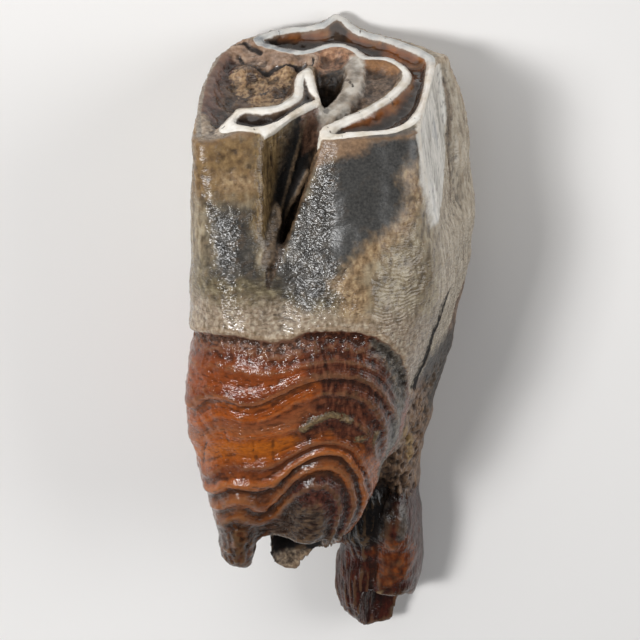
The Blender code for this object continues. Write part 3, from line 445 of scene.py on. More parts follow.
def carve(points, normals):
    """The moves that put growth steps, neck, facet, crack, dents and small lumps on the fused tooth."""
    x, y, z = points.T
    inside, level = depth_inside(points[:, :2], root_patch()), growth_level(points[:, :2])
    forward = ramp(-12, 2, x)
    steps = sum(
        height * (back + (front - back) * forward) * np.where(level < q, bump(level, q, up), bump(level, q, down))
        for q, height, up, down, back, front in STEPS
    )
    steps = steps * (0.35 + 0.65 * ramp(0.1, 0.7, normals[:, 2])) * ramp(0, 1.2, inside)
    lip = NECK_LIP * ramp(-0.4, 0.5, inside) * (1 - ramp(1.5, 6, inside)) * ramp(-9, -3, y)
    under_neck = neck_height(x, z) - y
    cheek_lip = NECK_LIP * ramp(-0.4, 0.5, under_neck) * (1 - ramp(1.5, 8, under_neck))
    cheek_lip *= 1 - ramp(14, 17, x) * ramp(5, 9, z)
    onto_tongue_side = ramp(15, 18, z)
    push = ramp(14, 18, z) * ramp(-0.5, 0.3, normals[:, 2]) * (steps - 0.2 * ramp(0, 1, inside))
    push -= lip * onto_tongue_side + cheek_lip * (1 - onto_tongue_side)
    push += 0.3 * rough(points, 6.0, 3, 3.0)
    crack_x, crack_y, _ = np.array(CRACK[::-1]).T
    wing = ramp(0, 0.8, x - np.interp(y, crack_y, crack_x))
    wing *= ramp(13.5, 9, y) * ramp(-18, -12, y) * ramp(2, 6, z) * ramp(30, 27, z)
    push -= 0.7 * wing
    push -= 0.8 * bump(distance_to_line(points, FRONT_GROOVE), 0, 1.2)
    for centre, radius, depth in DENTS:
        push -= depth * bump(np.linalg.norm(points - np.array(centre), axis=1), 0, radius)
    moved = points + normals * push[:, None]
    open_width = np.interp(y, [-5, 4, 14], [0.75, 0.5, 0.35])
    trench = 2.4 * np.exp(-((crack_gap(points) / open_width) ** 2)) * ramp(-8.5, -6.5, y)
    moved -= trench[:, None] * np.array(CRACK_OPENS)
    beyond = np.clip((moved - np.array(FACET_POINT)) @ np.array(FACET_NORMAL), 0, None)
    beyond *= ramp(15, 18, moved[:, 1]) * ramp(12.5, 15, moved[:, 2])
    return moved - beyond[:, None] * np.array(FACET_NORMAL)


def vertex_arrays(mesh):
    """Positions and normals of the vertices."""
    points = np.empty(len(mesh.vertices) * 3, np.float32)
    normals = np.empty(len(mesh.vertices) * 3, np.float32)
    mesh.vertices.foreach_get("co", points)
    mesh.vertices.foreach_get("normal", normals)
    return points.reshape(-1, 3).astype(float), normals.reshape(-1, 3).astype(float)


def place(mesh, points):
    """Moves the vertices to the points."""
    mesh.vertices.foreach_set("co", points.astype(np.float32).ravel())
    mesh.update()


def round_brows(obj, voxel):
    """Smooths the mesh beside the valley, where the lobes roll over into it."""
    points, _ = vertex_arrays(obj.data)
    for number, (line, width) in enumerate(VALLEY_BROWS):
        group = obj.vertex_groups.new(name=f"brow_{number}")
        weights = 1 - ramp(0.3 * width, width, distance_to_line(points, line))
        for index in np.nonzero(weights > 0.01)[0]:
            group.add([int(index)], float(weights[index]), "REPLACE")
        passes = int(0.9 * (width / voxel) ** 2)
        modified(obj, "SMOOTH", factor=0.5, iterations=passes, vertex_group=group.name)


# ---------------------------------------------------------------- fine relief

# Thin flakes of matrix left standing in the valley: points along the outer edge, and thickness.
FLAKES = [
    ([(-2.2, 33.2, 25.6), (-3.4, 28.6, 27.4), (-4.5, 24, 28.6), (-5.3, 21.4, 29.9)], 0.5),
    ([(-5.9, 21.9, 31), (-6.3, 20, 32.1), (-6.7, 18.6, 33), (-7.1, 17, 34.3), (-7.5, 15.2, 35.5)], 2),
    ([(-1.6, 25.9, 27), (-3.3, 22.8, 28.2), (-4.5, 20.8, 29.1), (-5.8, 18.7, 30.6)], 0.6),
]
# The bead of sediment on the root: its ridge and two spots.
CRUMB_RIDGE = [(-2.4, -9.7, 37), (-0.6, -8, 37.8), (1.4, -7.2, 38), (3, -7.5, 37.8), (4.2, -8.4, 37.2)]
CRUMB_SPOTS = [[(8.1, -11.2, 34.9), (7.6, -12.2, 34.6)], [(5.4, -11.8, 35.9), (6.4, -11.6, 35.4)]]
HAIRLINES = [  # fine open cracks in the root, and one in the crown
    [(-6.8, -11.6, 35.9), (-6.9, -13.2, 35.6), (-6.8, -15, 35.4)],
    [(-9.9, -11.4, 35.8), (-9.6, -13.6, 35.4), (-9, -15.8, 35)],
    [(-13.9, -10.9, 34.9), (-13.2, -12.8, 34.2)],
    [(-16.2, -13, 32.4), (-16.9, -15.6, 30.6), (-17.1, -18, 29.2)],
    [(-3.4, -10.6, 36.8), (-3.8, -12.4, 36.2)],
    [(4.3, 15.6, 37.2), (3.4, 14.4, 37.6), (2.6, 13.2, 37.9), (2.3, 11.3, 38.1), (2.7, 9.8, 38.3)],
]
RIM_CRACKS = [  # short dark cracks across the enamel lines, in (x, z)
    [(-9.6, 29.4), (-8.9, 31.4)], [(2.6, 31.6), (3.4, 33.6)], [(1, 30.6), (1.6, 31.6)], [(5.4, 26.2), (6.2, 27.4)],
    [(12.9, 27.8), (14.2, 28.6)], [(9.4, 22.2), (10.4, 23.2)], [(6.2, 3.8), (5.6, 6.2)], [(9.8, 5.6), (9.2, 7.4)],
    [(-6.2, 3.4), (-6, 5.4)], [(12, 13.4), (13.2, 12.8)], [(-13.2, 28.2), (-14.4, 28.8)],
    [(-2.2, 22.8), (-0.6, 22.6)],
]
SHELF_CRACKS = [  # cracks in the pocket's shelf, in (x, z)
    [(-12.4, 7.0), (-10.9, 6.9), (-9.5, 7.9), (-8.7, 8.8)],
    [(-11.9, 9.0), (-10.5, 11.0), (-8.4, 11.8), (-6.7, 11.3), (-4.6, 11.7), (-2.2, 11.7)],
    [(-0.8, 9.8), (-1.2, 13.6)],
]

# Stains of the tongue side, as outlines in (x, y).
PATCHES = {
    "charcoal": [[(5.6, 33), (2.3, 29.6), (1.7, 23.7), (1.6, 16), (4.9, 14.2), (8.8, 17.8), (13.4, 22.2),
                  (14.6, 27.1), (13.6, 33.4)]],
    "slate": [[(-15.8, 23.4), (-9, 22.6), (-8.6, 12.4), (-15.2, 12.8)],
              [(0.2, 30.6), (-2.2, 24.8), (-4.6, 19.7), (-7.4, 12), (-2, 9.2), (3.6, 11.6), (4.4, 20), (4, 29.6)]],
    "golden": [[(-19, 33.6), (-8.4, 33), (-8.4, 24), (-19, 23.4)]],
    "olive": [[(-17.6, 14.5), (-8, 14), (-2, 12), (5, 12), (6, 8.4), (-2, 7.4), (-9, 7.2), (-17.6, 6.6)]],
    "beige": [[(-19, 9.2), (-9, 9.8), (-3, 8.8), (6, 8.8), (12, 7.6), (16, 4), (14, -4), (-19, -2)]],
    "maroon": [[(-2.6, 7), (3, 7), (9, 5), (12, 0), (12.4, -6), (11.4, -14), (8.6, -17.4), (5.2, -13.2), (1.2, -11),
                (-2.4, -12.6), (-4.2, -10), (-1.4, -7.2), (-0.2, -4.4), (-0.4, -1.6), (-2.2, 0.8)]],
    "knuckle": [[(-1.8, -19), (1.4, -18.2), (4.2, -21.6), (4, -29), (1.4, -36), (-8.6, -36), (-7.6, -29.8),
                 (-5.4, -25.6), (-3.6, -21.2)]],
    "tips": [[(-15.8, -28.6), (-12.4, -26.8), (-9.6, -29), (-7.4, -29.4), (-7, -44), (-19, -44), (-17, -30)]],
}
# Stains drawn as strokes, and painted shade in the valley's core, the recess, the canal and along the root's front
# edge: width, then points along the stroke.
STROKES = {
    "ochre": [(1.3, [(14.2, 24.6, 32.4), (12.4, 20.4, 34.4), (9.6, 18.4, 36), (6.6, 16.2, 37.1), (4.2, 13.4, 37.8)]),
              (1.9, [(3.8, 12.4, 38.1), (5.2, 10.6, 38.4), (4.6, 9.4, 38.6)]),
              (1.5, [(13, 27, 33), (13.8, 23.6, 32.6)]), (1, [(-13, 26.4, 33.6), (-9.4, 26, 33.2)])],
    "underrim": [(1.7, [(-0.2, 30.2, 33.2), (1.6, 31.4, 33.8), (5.4, 32.2, 34.2)]),
                 (0.5, [(5.4, 32.6, 34.2), (9, 32.6, 33.6), (13.6, 33, 31.4)]),
                 (0.9, [(-16.8, 33, 32.6), (-12, 33.4, 31.6), (-8.4, 33.4, 31.6)])],
    "edge_grey": [(1.6, [(8.6, 3.6, 37), (10.4, 1, 36), (11.4, -2, 34.6), (11.9, -6, 32.8), (11.2, -12, 31),
                         (10.2, -18, 27.6), (9, -23, 23)])],
    "khaki": [(0.6, CRUMB_RIDGE), (0.6, CRUMB_SPOTS[0]), (0.5, CRUMB_SPOTS[1])],
    "flake": [(0.32, FLAKES[0][0]), (0.85, FLAKES[1][0]), (0.35, FLAKES[2][0])],
    "wall": [(2.2, [(-7.4, 32, 30), (-7.5, 25.4, 31.6), (-7.8, 20, 33.2)])],
    "core": [(2.3, [(-2.2, 33.6, 25), (-3.5, 27.5, 27.2), (-5.2, 23, 29)]),
             (1.5, [(-5.2, 23, 29), (-6.2, 20, 30.6), (-7.1, 17, 33)])],
    "orange": [(2, [(9.8, -39.6, 13.4), (12.6, -38.6, 14.4), (13.4, -41, 13)]),
               (1.9, [(9.8, -44.2, 12.7), (12.6, -43.2, 13.2)])],
    "facet_edge": [(0.55, [(14.3, 37.2, 11), (14.3, 35.1, 22.9), (14, 32.9, 30.6), (14.2, 30.3, 31.4)]),
                   (0.35, [(14.2, 30.3, 31.4), (14.7, 26.5, 31.2), (15.5, 22.4, 30)])],
    "facet_stain": [(0.6, [(18.1, 35, 12), (18.8, 30.6, 13), (18.9, 26, 14.4), (19, 22, 15.4), (18.6, 18.5, 18)])],
    "knuckle_top": [(2.4, [(-2.2, -21, 33), (0.4, -20.4, 33.6), (2.6, -23.4, 31.6), (3, -28, 28)])],
    "wax": [(0.8, [(12.9, -32, 14.9), (12.4, -36.6, 15.2)]), (0.5, [(9.8, -33.6, 15), (10.6, -31.4, 14.4)])],
    "bone_gold": [(0.9, [(12.4, -15.6, 23), (12.2, -17.4, 21)]), (0.8, [(13.4, -19.4, 16.6), (13.6, -22.8, 15.2)]),
                  (0.7, [(12.7, -36.8, 15.6), (12.5, -37.9, 15.2)])],
    "crimson": [(1, [(6.3, -35.3, 14.2), (7, -36.4, 13.8)])],
    "fr_crest": [(0.28, [(8, -46.4, 12.4), (8.9, -48, 11.6), (10, -46.8, 12), (11.6, -46.4, 12.2),
                         (13, -48.2, 10.4)])],
    "recess": [(2.6, [(8.6, -30.5, 14.6), (8.4, -35, 13.6), (6.2, -37.4, 13)])],
    "canal": [(2.3, [(-6.4, -35.4, 18), (-1.4, -35.4, 18.4)])],
    "crack": [(0.08, line) for line in HAIRLINES],
}
# Stains of the chewing surface and of the matrix in its hollows, as strokes in (x, z).
PLAN_STROKES = {
    "fold": [(1.4, FOLD)],
    "rust": [(2.1, [(-0.4, 11.4), (1.6, 10.2), (3.4, 10.4)])],
    "front_pocket": [(2.7, [(7.4, 13.8), (9.2, 16), (7.6, 19.2), (6, 21.4)])],
    "front_rust": [(0.8, [(6.6, 13), (9.2, 13.4), (11.2, 14.6)])],
    "reddish": [(1.6, [(-1.4, 25.4), (0.2, 24.2), (0.6, 22.6)])],
    "shelf": [(1.8, [(-12.2, 7.6), (-9.4, 8.6), (-6.8, 9.8), (-4.6, 10.6), (-1.8, 11.2)])],
    "gold": [(1.2, [(-11.8, 13), (-11.2, 15.4)]), (1.6, [(-8.3, 14.4), (-5.2, 12.9)]),
             (1.2, [(-9, 17.4), (-6.6, 18)])],
    "plum": [(1.9, [(-13.8, 9.6), (-15.6, 15), (-16.2, 20.5), (-16, 24)])],
    "corner": [(1.5, [(-16.6, 26.4), (-15.6, 28.6), (-15, 29.6)])],
    "slit": [(0.2, [(3.7, 16.8), (4.3, 17.8), (4.7, 18.6)])],
    "amber": [(0.7, [(3.2, 28.8), (7.1, 26.4), (9.9, 23.6), (12.4, 19), (13.2, 14.9)]),
              (1.2, [(10.6, 8.6), (13.4, 9.8), (15, 11.4)]), (0.1, [(-5.7, 4.9), (-3, 5), (0.8, 5.1)]),
              (0.1, [(4.6, 5.6), (9, 7.2)])],
    "blue": [(1, [(-9.3, 6.2), (-7, 8.3), (-4.6, 9.3)])],
    "left_rim": [(0.4, [(-17, 30.4), (-17.3, 24), (-16.7, 15), (-14.8, 9), (-12.4, 6.2)])],
}
PLAN_REACH = {"fold": 4.5, "left_rim": 2.6}  # how far down such a stain goes, where that isn't 6 mm
BANDS = [  # colour of the root at each distance down from the neck
    (0, "#78594a"), (1.6, "#744b36"), (3, "#6f3820"), (4, "#803f1d"), (5.6, "#8e451c"), (6.5, "#6e3116"),
    (7.2, "#a85923"), (8.4, "#8a4318"), (9.6, "#a35018"), (10.4, "#8a4c2c"), (11.8, "#8f5533"), (12.8, "#a45118"),
    (14.6, "#b05f18"), (16.6, "#964c17"), (17.5, "#703517"), (18.6, "#8a4821"), (19.4, "#a0551e"), (20.2, "#5c3119"),
    (21.2, "#6e4228"), (22.4, "#954f1e"), (23.2, "#623c24"), (25, "#7a441e"), (26.2, "#523320"), (28.6, "#573c26"),
    (34, "#4a3724"),
]
LEVEL_SPAN = 34.0  # the bands end here


def overlap(*fields):
    """The field of what lies inside all the regions whose fields are given."""
    return functools.reduce(np.minimum, fields)


def stroke_field(points, strokes):
    """Distance in mm inside the widest reach of any stroke; negative outside."""
    return np.max([width - distance_to_line(points, line) for width, line in strokes], axis=0)


def zones(points, normals):
    """Signed fields in mm, positive inside each region of the surface, which steer relief and material."""
    x, y, z = points.T
    plan, face = points[:, [0, 2]], points[:, :2]
    below = wear_plane(x, z) - y
    zone = {"below": below, "up": y, "cool": 13 - z, "level": np.clip(growth_level(face), 0, LEVEL_SPAN)}

    # The chewing surface.
    main, back = depth_inside(plan, MAIN_RIM), depth_inside(plan, BACK_RIM)
    half = 0.64 + 0.28 * ramp(25, 31, z)
    half += 0.45 * bump(x, 0.8, 2.0) * bump(z, 31.4, 2.0) + 0.7 * bump(x, -13.6, 2.2) * bump(z, 29.2, 2.2)
    down = 0.7 + 0.85 * ramp(27, 30, z)
    down += 1.5 * bump(x, 2.0, 2.4) * bump(z, 32.8, 2.4) + 0.7 * bump(x, -13.8, 2.0) * bump(z, 29.4, 2.4)
    zone["rim"] = overlap(half - np.minimum(np.abs(main), np.abs(back)), down - below)
    zone["dentine"] = overlap(np.maximum(main, back) - 0.4, 6 - below)
    zone["glow"] = 0.8 - np.maximum(main, back)
    zone["pocket"] = overlap(depth_inside(plan, BACK_POCKET) + 0.5, 9 - below)
    zone["valley"] = overlap(depth_inside(plan, VALLEY), below - 0.4, 1.6 - (chewing_surface(x, z) - y))
    for name, strokes in PLAN_STROKES.items():
        zone[name] = overlap(stroke_field(plan, strokes), PLAN_REACH.get(name, 6) - below)
    zone["plum"] -= 6 * ramp(-0.1, -0.5, normals[:, 0]) * ramp(-15, -17, x)
    for name, width, lines, home, edge in (("rim_crack", 0.10, RIM_CRACKS, "rim", -0.3),
                                           ("shelf_crack", 0.22, SHELF_CRACKS, "pocket", -0.5)):
        cracks = stroke_field(plan, [(width, line) for line in lines])
        zone[name] = np.where(zone[home] > edge, cracks, -1)

    # The tongue side and the roots.
    inside = depth_inside(face, root_patch())
    tongue = ramp(14, 18, z) * ramp(-0.5, 0.2, normals[:, 2])
    off_tongue = 6 * (1 - tongue)
    zone["root"] = inside - off_tongue
    under = neck_height(x, z) - y
    zone["under"] = np.where(tongue > 0.5, overlap(-inside, under), under)
    for name, outlines in PATCHES.items():
        zone[name] = np.max([depth_inside(face, outline) for outline in outlines], axis=0) - off_tongue
    for name, strokes in STROKES.items():
        zone[name] = stroke_field(points, strokes)
    zone["knuckle"] = overlap(zone["knuckle"], inside)
    zone["front_root"] = np.where((inside > 0.4) & (z > 18), -6, overlap(-29.5 - y, x - 1.2))
    zone["break"] = overlap(-30 - y, 3.4 - np.abs(x + 3.6), 27.4 - z, z - 14)

    # The front side, with its facet and crack.
    facet_normal = np.array(FACET_NORMAL)
    past = (points - np.array(FACET_POINT)) @ facet_normal
    low_edge = np.interp(y, [18, 21, 25, 30, 34], [29, 22.5, 16.6, 13.6, 12])
    zone["facet"] = overlap(0.6 - np.abs(past), 12 * (normals @ facet_normal - 0.86), y - 18.6, z - low_edge)
    zone["side"] = overlap(x - 17, 40 - y)
    crack_x, crack_y, crack_z = np.array(CRACK[::-1]).T
    edge = np.interp(y, [-16, -11, *crack_y], [15.6, 15, *crack_x])
    zone["wing"] = overlap(x - edge - 0.7, 27 - z, z - 8, -3.6 - y, y + 16.5)
    # The crack is painted near black down its gap: painted shade.
    split = np.interp(y, [-5, 4, 14], [0.65, 0.5, 0.4]) - crack_gap(points)
    zone["split"] = overlap(split, z - np.interp(y, crack_y, crack_z) + 3)
    return zone


def relief(points, zone):
    """Small moves in mm along the normals: wrinkled enamel, crumbs, pits, fibres and open cracks."""
    x, y, z = points.T
    level = zone["level"]

    def share(name, reach, shift=0):
        """0 outside a region, rising to 1 at reach inside it."""
        return ramp(0, reach, zone[name] + shift)

    def lumps(size, seed, octaves=3):
        """Noise of about -1 to 1; size is that of its lumps along x, y and z."""
        return rough(points / np.array(size), 1.0, octaves, seed)

    def crests(size, seed):
        """Noise with sharp crests, 0 to 1."""
        return 1 - np.clip(2.2 * np.abs(lumps(size, seed, 2)), 0, 1)

    root, knuckle, front = share("root", 0.8), share("knuckle", 2), share("front_root", 2)
    crown = (1 - share("root", 0.6)) * (1 - share("under", 0.8)) * share("below", 1.4, -0.4)
    push = 0.13 * crown * (1 - 0.75 * share("charcoal", 1.5)) * (crests((1.4, 1.0, 1.4), 5.0) - 0.5)
    push += 0.10 * crown * share("golden", 1.5) * lumps(0.9, 11.0)
    push += 0.10 * crown * (1 - share("facet", 0.5)) * ramp(15, 18, x) * lumps((0.8, 5, 0.8), 14.0)
    in_pocket = share("pocket", 0.8) * share("below", 1, -0.6) * (1 - 0.7 * share("plum", 1))
    push += 0.16 * in_pocket * lumps(0.9, 2.0)

    push += 0.42 * root * bump(level, 1.3, 1.7) * (crests((1.5, 1.1, 1.5), 8.0) - 0.45)
    fine_steps = np.sin(2 * np.pi * (level + 0.25 * lumps(4, 1.0)) / 0.95)
    push += 0.035 * root * fine_steps * ramp(1.5, 4, level) * (1 - knuckle)
    even = bump(level, 15, 2)
    push += 0.10 * root * lumps((1.3, 0.9, 1.3), 4.0) * (1 - 0.8 * even)
    push += 0.09 * root * (crests((1.6, 0.8, 1.6), 18.0) - 0.4) * (1 - 0.6 * even)
    push += 0.14 * knuckle * lumps((0.9, 0.6, 0.9), 6.0)
    push += 0.20 * share("tips", 2) * lumps((0.8, 2, 0.9), 9.0)
    push += (0.30 + 0.40 * lumps(0.7, 13.0)) * share("khaki", 0.5)

    left_half = ramp(11, 7.5, x)
    push += 0.34 * front * left_half * lumps((0.7, 5, 0.9), 7.0)
    push += 0.14 * front * (1 - left_half) * lumps((1.6, 2.4, 1.6), 7.5)
    bony = share("under", 1) * (1 - front)
    push += 0.22 * bony * lumps((0.9, 2.4, 0.9), 3.0)
    pitted = bony * ramp(8, 11, x) * ramp(-6, -10, y) * ramp(10, 14, z)
    push -= 0.55 * pitted * ramp(0.10, 0.40, lumps((1.1, 1.3, 1.1), 12.0))
    push += 0.30 * pitted * ramp(0.10, 0.45, lumps(0.9, 15.0))

    for name, depth, reach, shift in (("crack", 0.14, 0.4, 0.3), ("shelf_crack", 0.40, 0.4, 0.25),
                                      ("rim_crack", 0.14, 0.3, 0.2)):
        push -= depth * share(name, reach, shift)
    return push * ramp(REST_LEVEL, 3.5, z)


def bump_shares(zone):
    """How much of each kind of fine bump the surface takes."""

    def inside(*names):
        return np.max([ramp(-0.3, 0.6, zone[name]) for name in names], axis=0)

    calm = 1 - 0.9 * inside("rim", "facet", "dentine", "fold")
    crown = np.clip(calm - inside("root") - 0.75 * inside("charcoal"), 0, 1)
    return {
        "calm": calm,
        "wrinkled": crown * (0.6 + 0.6 * inside("slate", "olive")),
        "lined": crown * ramp(17.7, 10.7, zone["up"]),
        "leathery": inside("root"),
        "collar": inside("root") * ramp(5.0, 0.5, zone["level"]),
        "fibrous": 0.01 + 0.12 * inside("under", "front_root", "knuckle"),
    }


def flake(line, thickness):
    """A thin plate that stands on the valley floor, its outer edge along the line."""
    bm = bmesh.new()
    rings = []
    last = len(line) - 1
    down = Vector((0.05, -0.40, -0.92))
    for i, point in enumerate(line):
        edge, foot = Vector(point), Vector(point) + down * 3.0
        ahead = Vector(line[min(i + 1, last)]) - Vector(line[max(i - 1, 0)])
        across = ahead.cross(down).normalized()
        thin = across * thickness / 2 * (0.55 if i in (0, last) else 1.0)
        thick = across * (thickness / 2 + 0.35)
        rings.append([bm.verts.new(p) for p in (edge - thin, edge + thin, foot + thick, foot - thick)])
    band_of_faces(bm, rings)
    bm.faces.new(rings[0])
    bm.faces.new(rings[-1][::-1])
    bmesh.ops.recalc_face_normals(bm, faces=bm.faces)
    return object_from(bm, "flake")


def hollows(mesh, points, normals, passes):
    """How far each point lies below the average of its surroundings, in mm."""
    edges = np.empty(len(mesh.edges) * 2, np.int32)
    mesh.edges.foreach_get("vertices", edges)
    one, two = edges.reshape(-1, 2).T
    count = np.bincount(edges, minlength=len(points))
    average = points.copy()
    for _ in range(passes):
        for axis in range(3):
            column = average[:, axis].copy()
            total = np.bincount(one, column[two], len(points)) + np.bincount(two, column[one], len(points))
            average[:, axis] = total / count
    return ((average - points) * normals).sum(1)


def set_field(mesh, name, values):
    """Stores a field on the vertices, for the material to read."""
    layer = mesh.attributes.new(name, "FLOAT", "POINT")
    layer.data.foreach_set("value", np.clip(values, -8, LEVEL_SPAN).astype(np.float32))


def tooth():
    """The whole tooth, shaped in millimetres, then moved and scaled to the frame."""
    body = joined([
        loft("trunk", TRUNK),
        loft("inner_roots", INNER_ROOTS),
        loft("front_root", FRONT_ROOT),
        loft("back_root", BACK_ROOT),
    ], "fossil_tooth")
    modified(body, "REMESH", mode="VOXEL", voxel_size=BODY_VOXEL)
    cutters = [wear_cutter(FINE_VOXEL)] + [loft(name, outlines) for name, outlines in ROOT_CUTS.items()]
    for cutter in cutters:
        modified(body, "BOOLEAN", operation="DIFFERENCE", object=cutter)
        bpy.data.objects.remove(cutter)
    body = joined([body] + [flake(line, thickness) for line, thickness in FLAKES], "fossil_tooth")
    modified(body, "REMESH", mode="VOXEL", voxel_size=FINE_VOXEL)
    modified(body, "SMOOTH", factor=0.5, iterations=2)
    round_brows(body, FINE_VOXEL)
    points, normals = vertex_arrays(body.data)
    place(body.data, carve(points, normals))
    points, normals = vertex_arrays(body.data)
    zone = zones(points, normals)
    points = points + normals * relief(points, zone)[:, None]
    points[:, 2] = np.maximum(points[:, 2], REST_LEVEL)
    place(body.data, points)
    points, normals = vertex_arrays(body.data)
    zone.update(bump_shares(zone))
    # Hollows, for the dirt and painted shade and for the paler worn edges in the material.
    zone["hollow"] = 4 * hollows(body.data, points, normals, passes=4)
    zone["deep_hollow"] = hollows(body.data, points, normals, passes=40)
    for name, values in zone.items():
        set_field(body.data, name, values)
    body.data.transform(Matrix.Translation(Vector(FRAME_SHIFT) - Vector((0, 0, REST_LEVEL))))
    body.data.transform(Matrix.Scale(MM, 4))
    body.data.shade_smooth()
    body.data.name = body.name = "fossil_tooth"
    return body


# ---------------------------------------------------------------- material


def linear(code):
    """Linear colour of a hex code such as "#a0522a"."""
    values = [int(code[i:i + 2], 16) / 255 for i in (1, 3, 5)]
    return tuple(v / 12.92 if v <= 0.04045 else ((v + 0.055) / 1.055) ** 2.4 for v in values) + (1.0,)


class Nodes:
    """Adds shader nodes; values are numbers, colours or the outputs of other nodes."""

    def __init__(self, tree):
        self.tree = tree
        place = self.add("TexCoord", {}).outputs["Object"]
        self.spot = self.add("Mapping", {"Vector": place, "Scale": (1 / MM,) * 3}).outputs["Vector"]

    def add(self, kind, inputs, **settings):
        made = self.tree.nodes.new("ShaderNode" + kind)
        for key, value in settings.items():
            setattr(made, key, value)
        for key, value in inputs.items():
            if isinstance(value, bpy.types.NodeSocket):
                self.tree.links.new(value, made.inputs[key])
            else:
                made.inputs[key].default_value = value
        return made

    def math(self, operation, *values):
        return self.add("Math", dict(enumerate(values)), operation=operation).outputs[0]

    def times(self, *values):
        return functools.reduce(lambda one, two: self.math("MULTIPLY", one, two), values)

    def field(self, name):
        return self.add("Attribute", {}, attribute_name=name).outputs["Fac"]

    def mix(self, share, one, two):
        return self.add("Mix", {0: share, 6: one, 7: two}, data_type="RGBA").outputs[2]

    def blend(self, share, one, two):
        return self.add("Mix", {0: share, 2: one, 3: two}, data_type="FLOAT").outputs[0]

    def tint(self, colour, share, strength, code):
        """The colour moved towards that of the code, by strength where share is 1."""
        return self.mix(self.times(share, strength), colour, linear(code))

    def step(self, value, low, high):
        """0 at low, 1 at high, smooth between."""
        inputs = {"Value": value, "From Min": low, "From Max": high}
        return self.add("MapRange", inputs, interpolation_type="SMOOTHSTEP").outputs["Result"]

    def noise(self, size, detail, seed):
        """Noise 0 to 1; size is that of its lumps in mm, either way round or along x, y and z."""
        scale = tuple(1 / np.broadcast_to(size, 3))
        inputs = {"Vector": self.spot, "Location": (seed, -seed, 2 * seed), "Scale": scale}
        moved = self.add("Mapping", inputs).outputs["Vector"]
        return self.add("TexNoise", {"Vector": moved, "Scale": 1.0, "Detail": detail}).outputs["Fac"]

    def colours(self, value, stops):
        """Colours along a value, from stops of position and code."""
        made = self.add("ValToRGB", {0: value})
        elements = made.color_ramp.elements
        for index, (position, code) in enumerate(stops):
            element = elements[index] if index < 2 else elements.new(position)
            element.position, element.color = position, linear(code)
        return made.outputs["Color"]


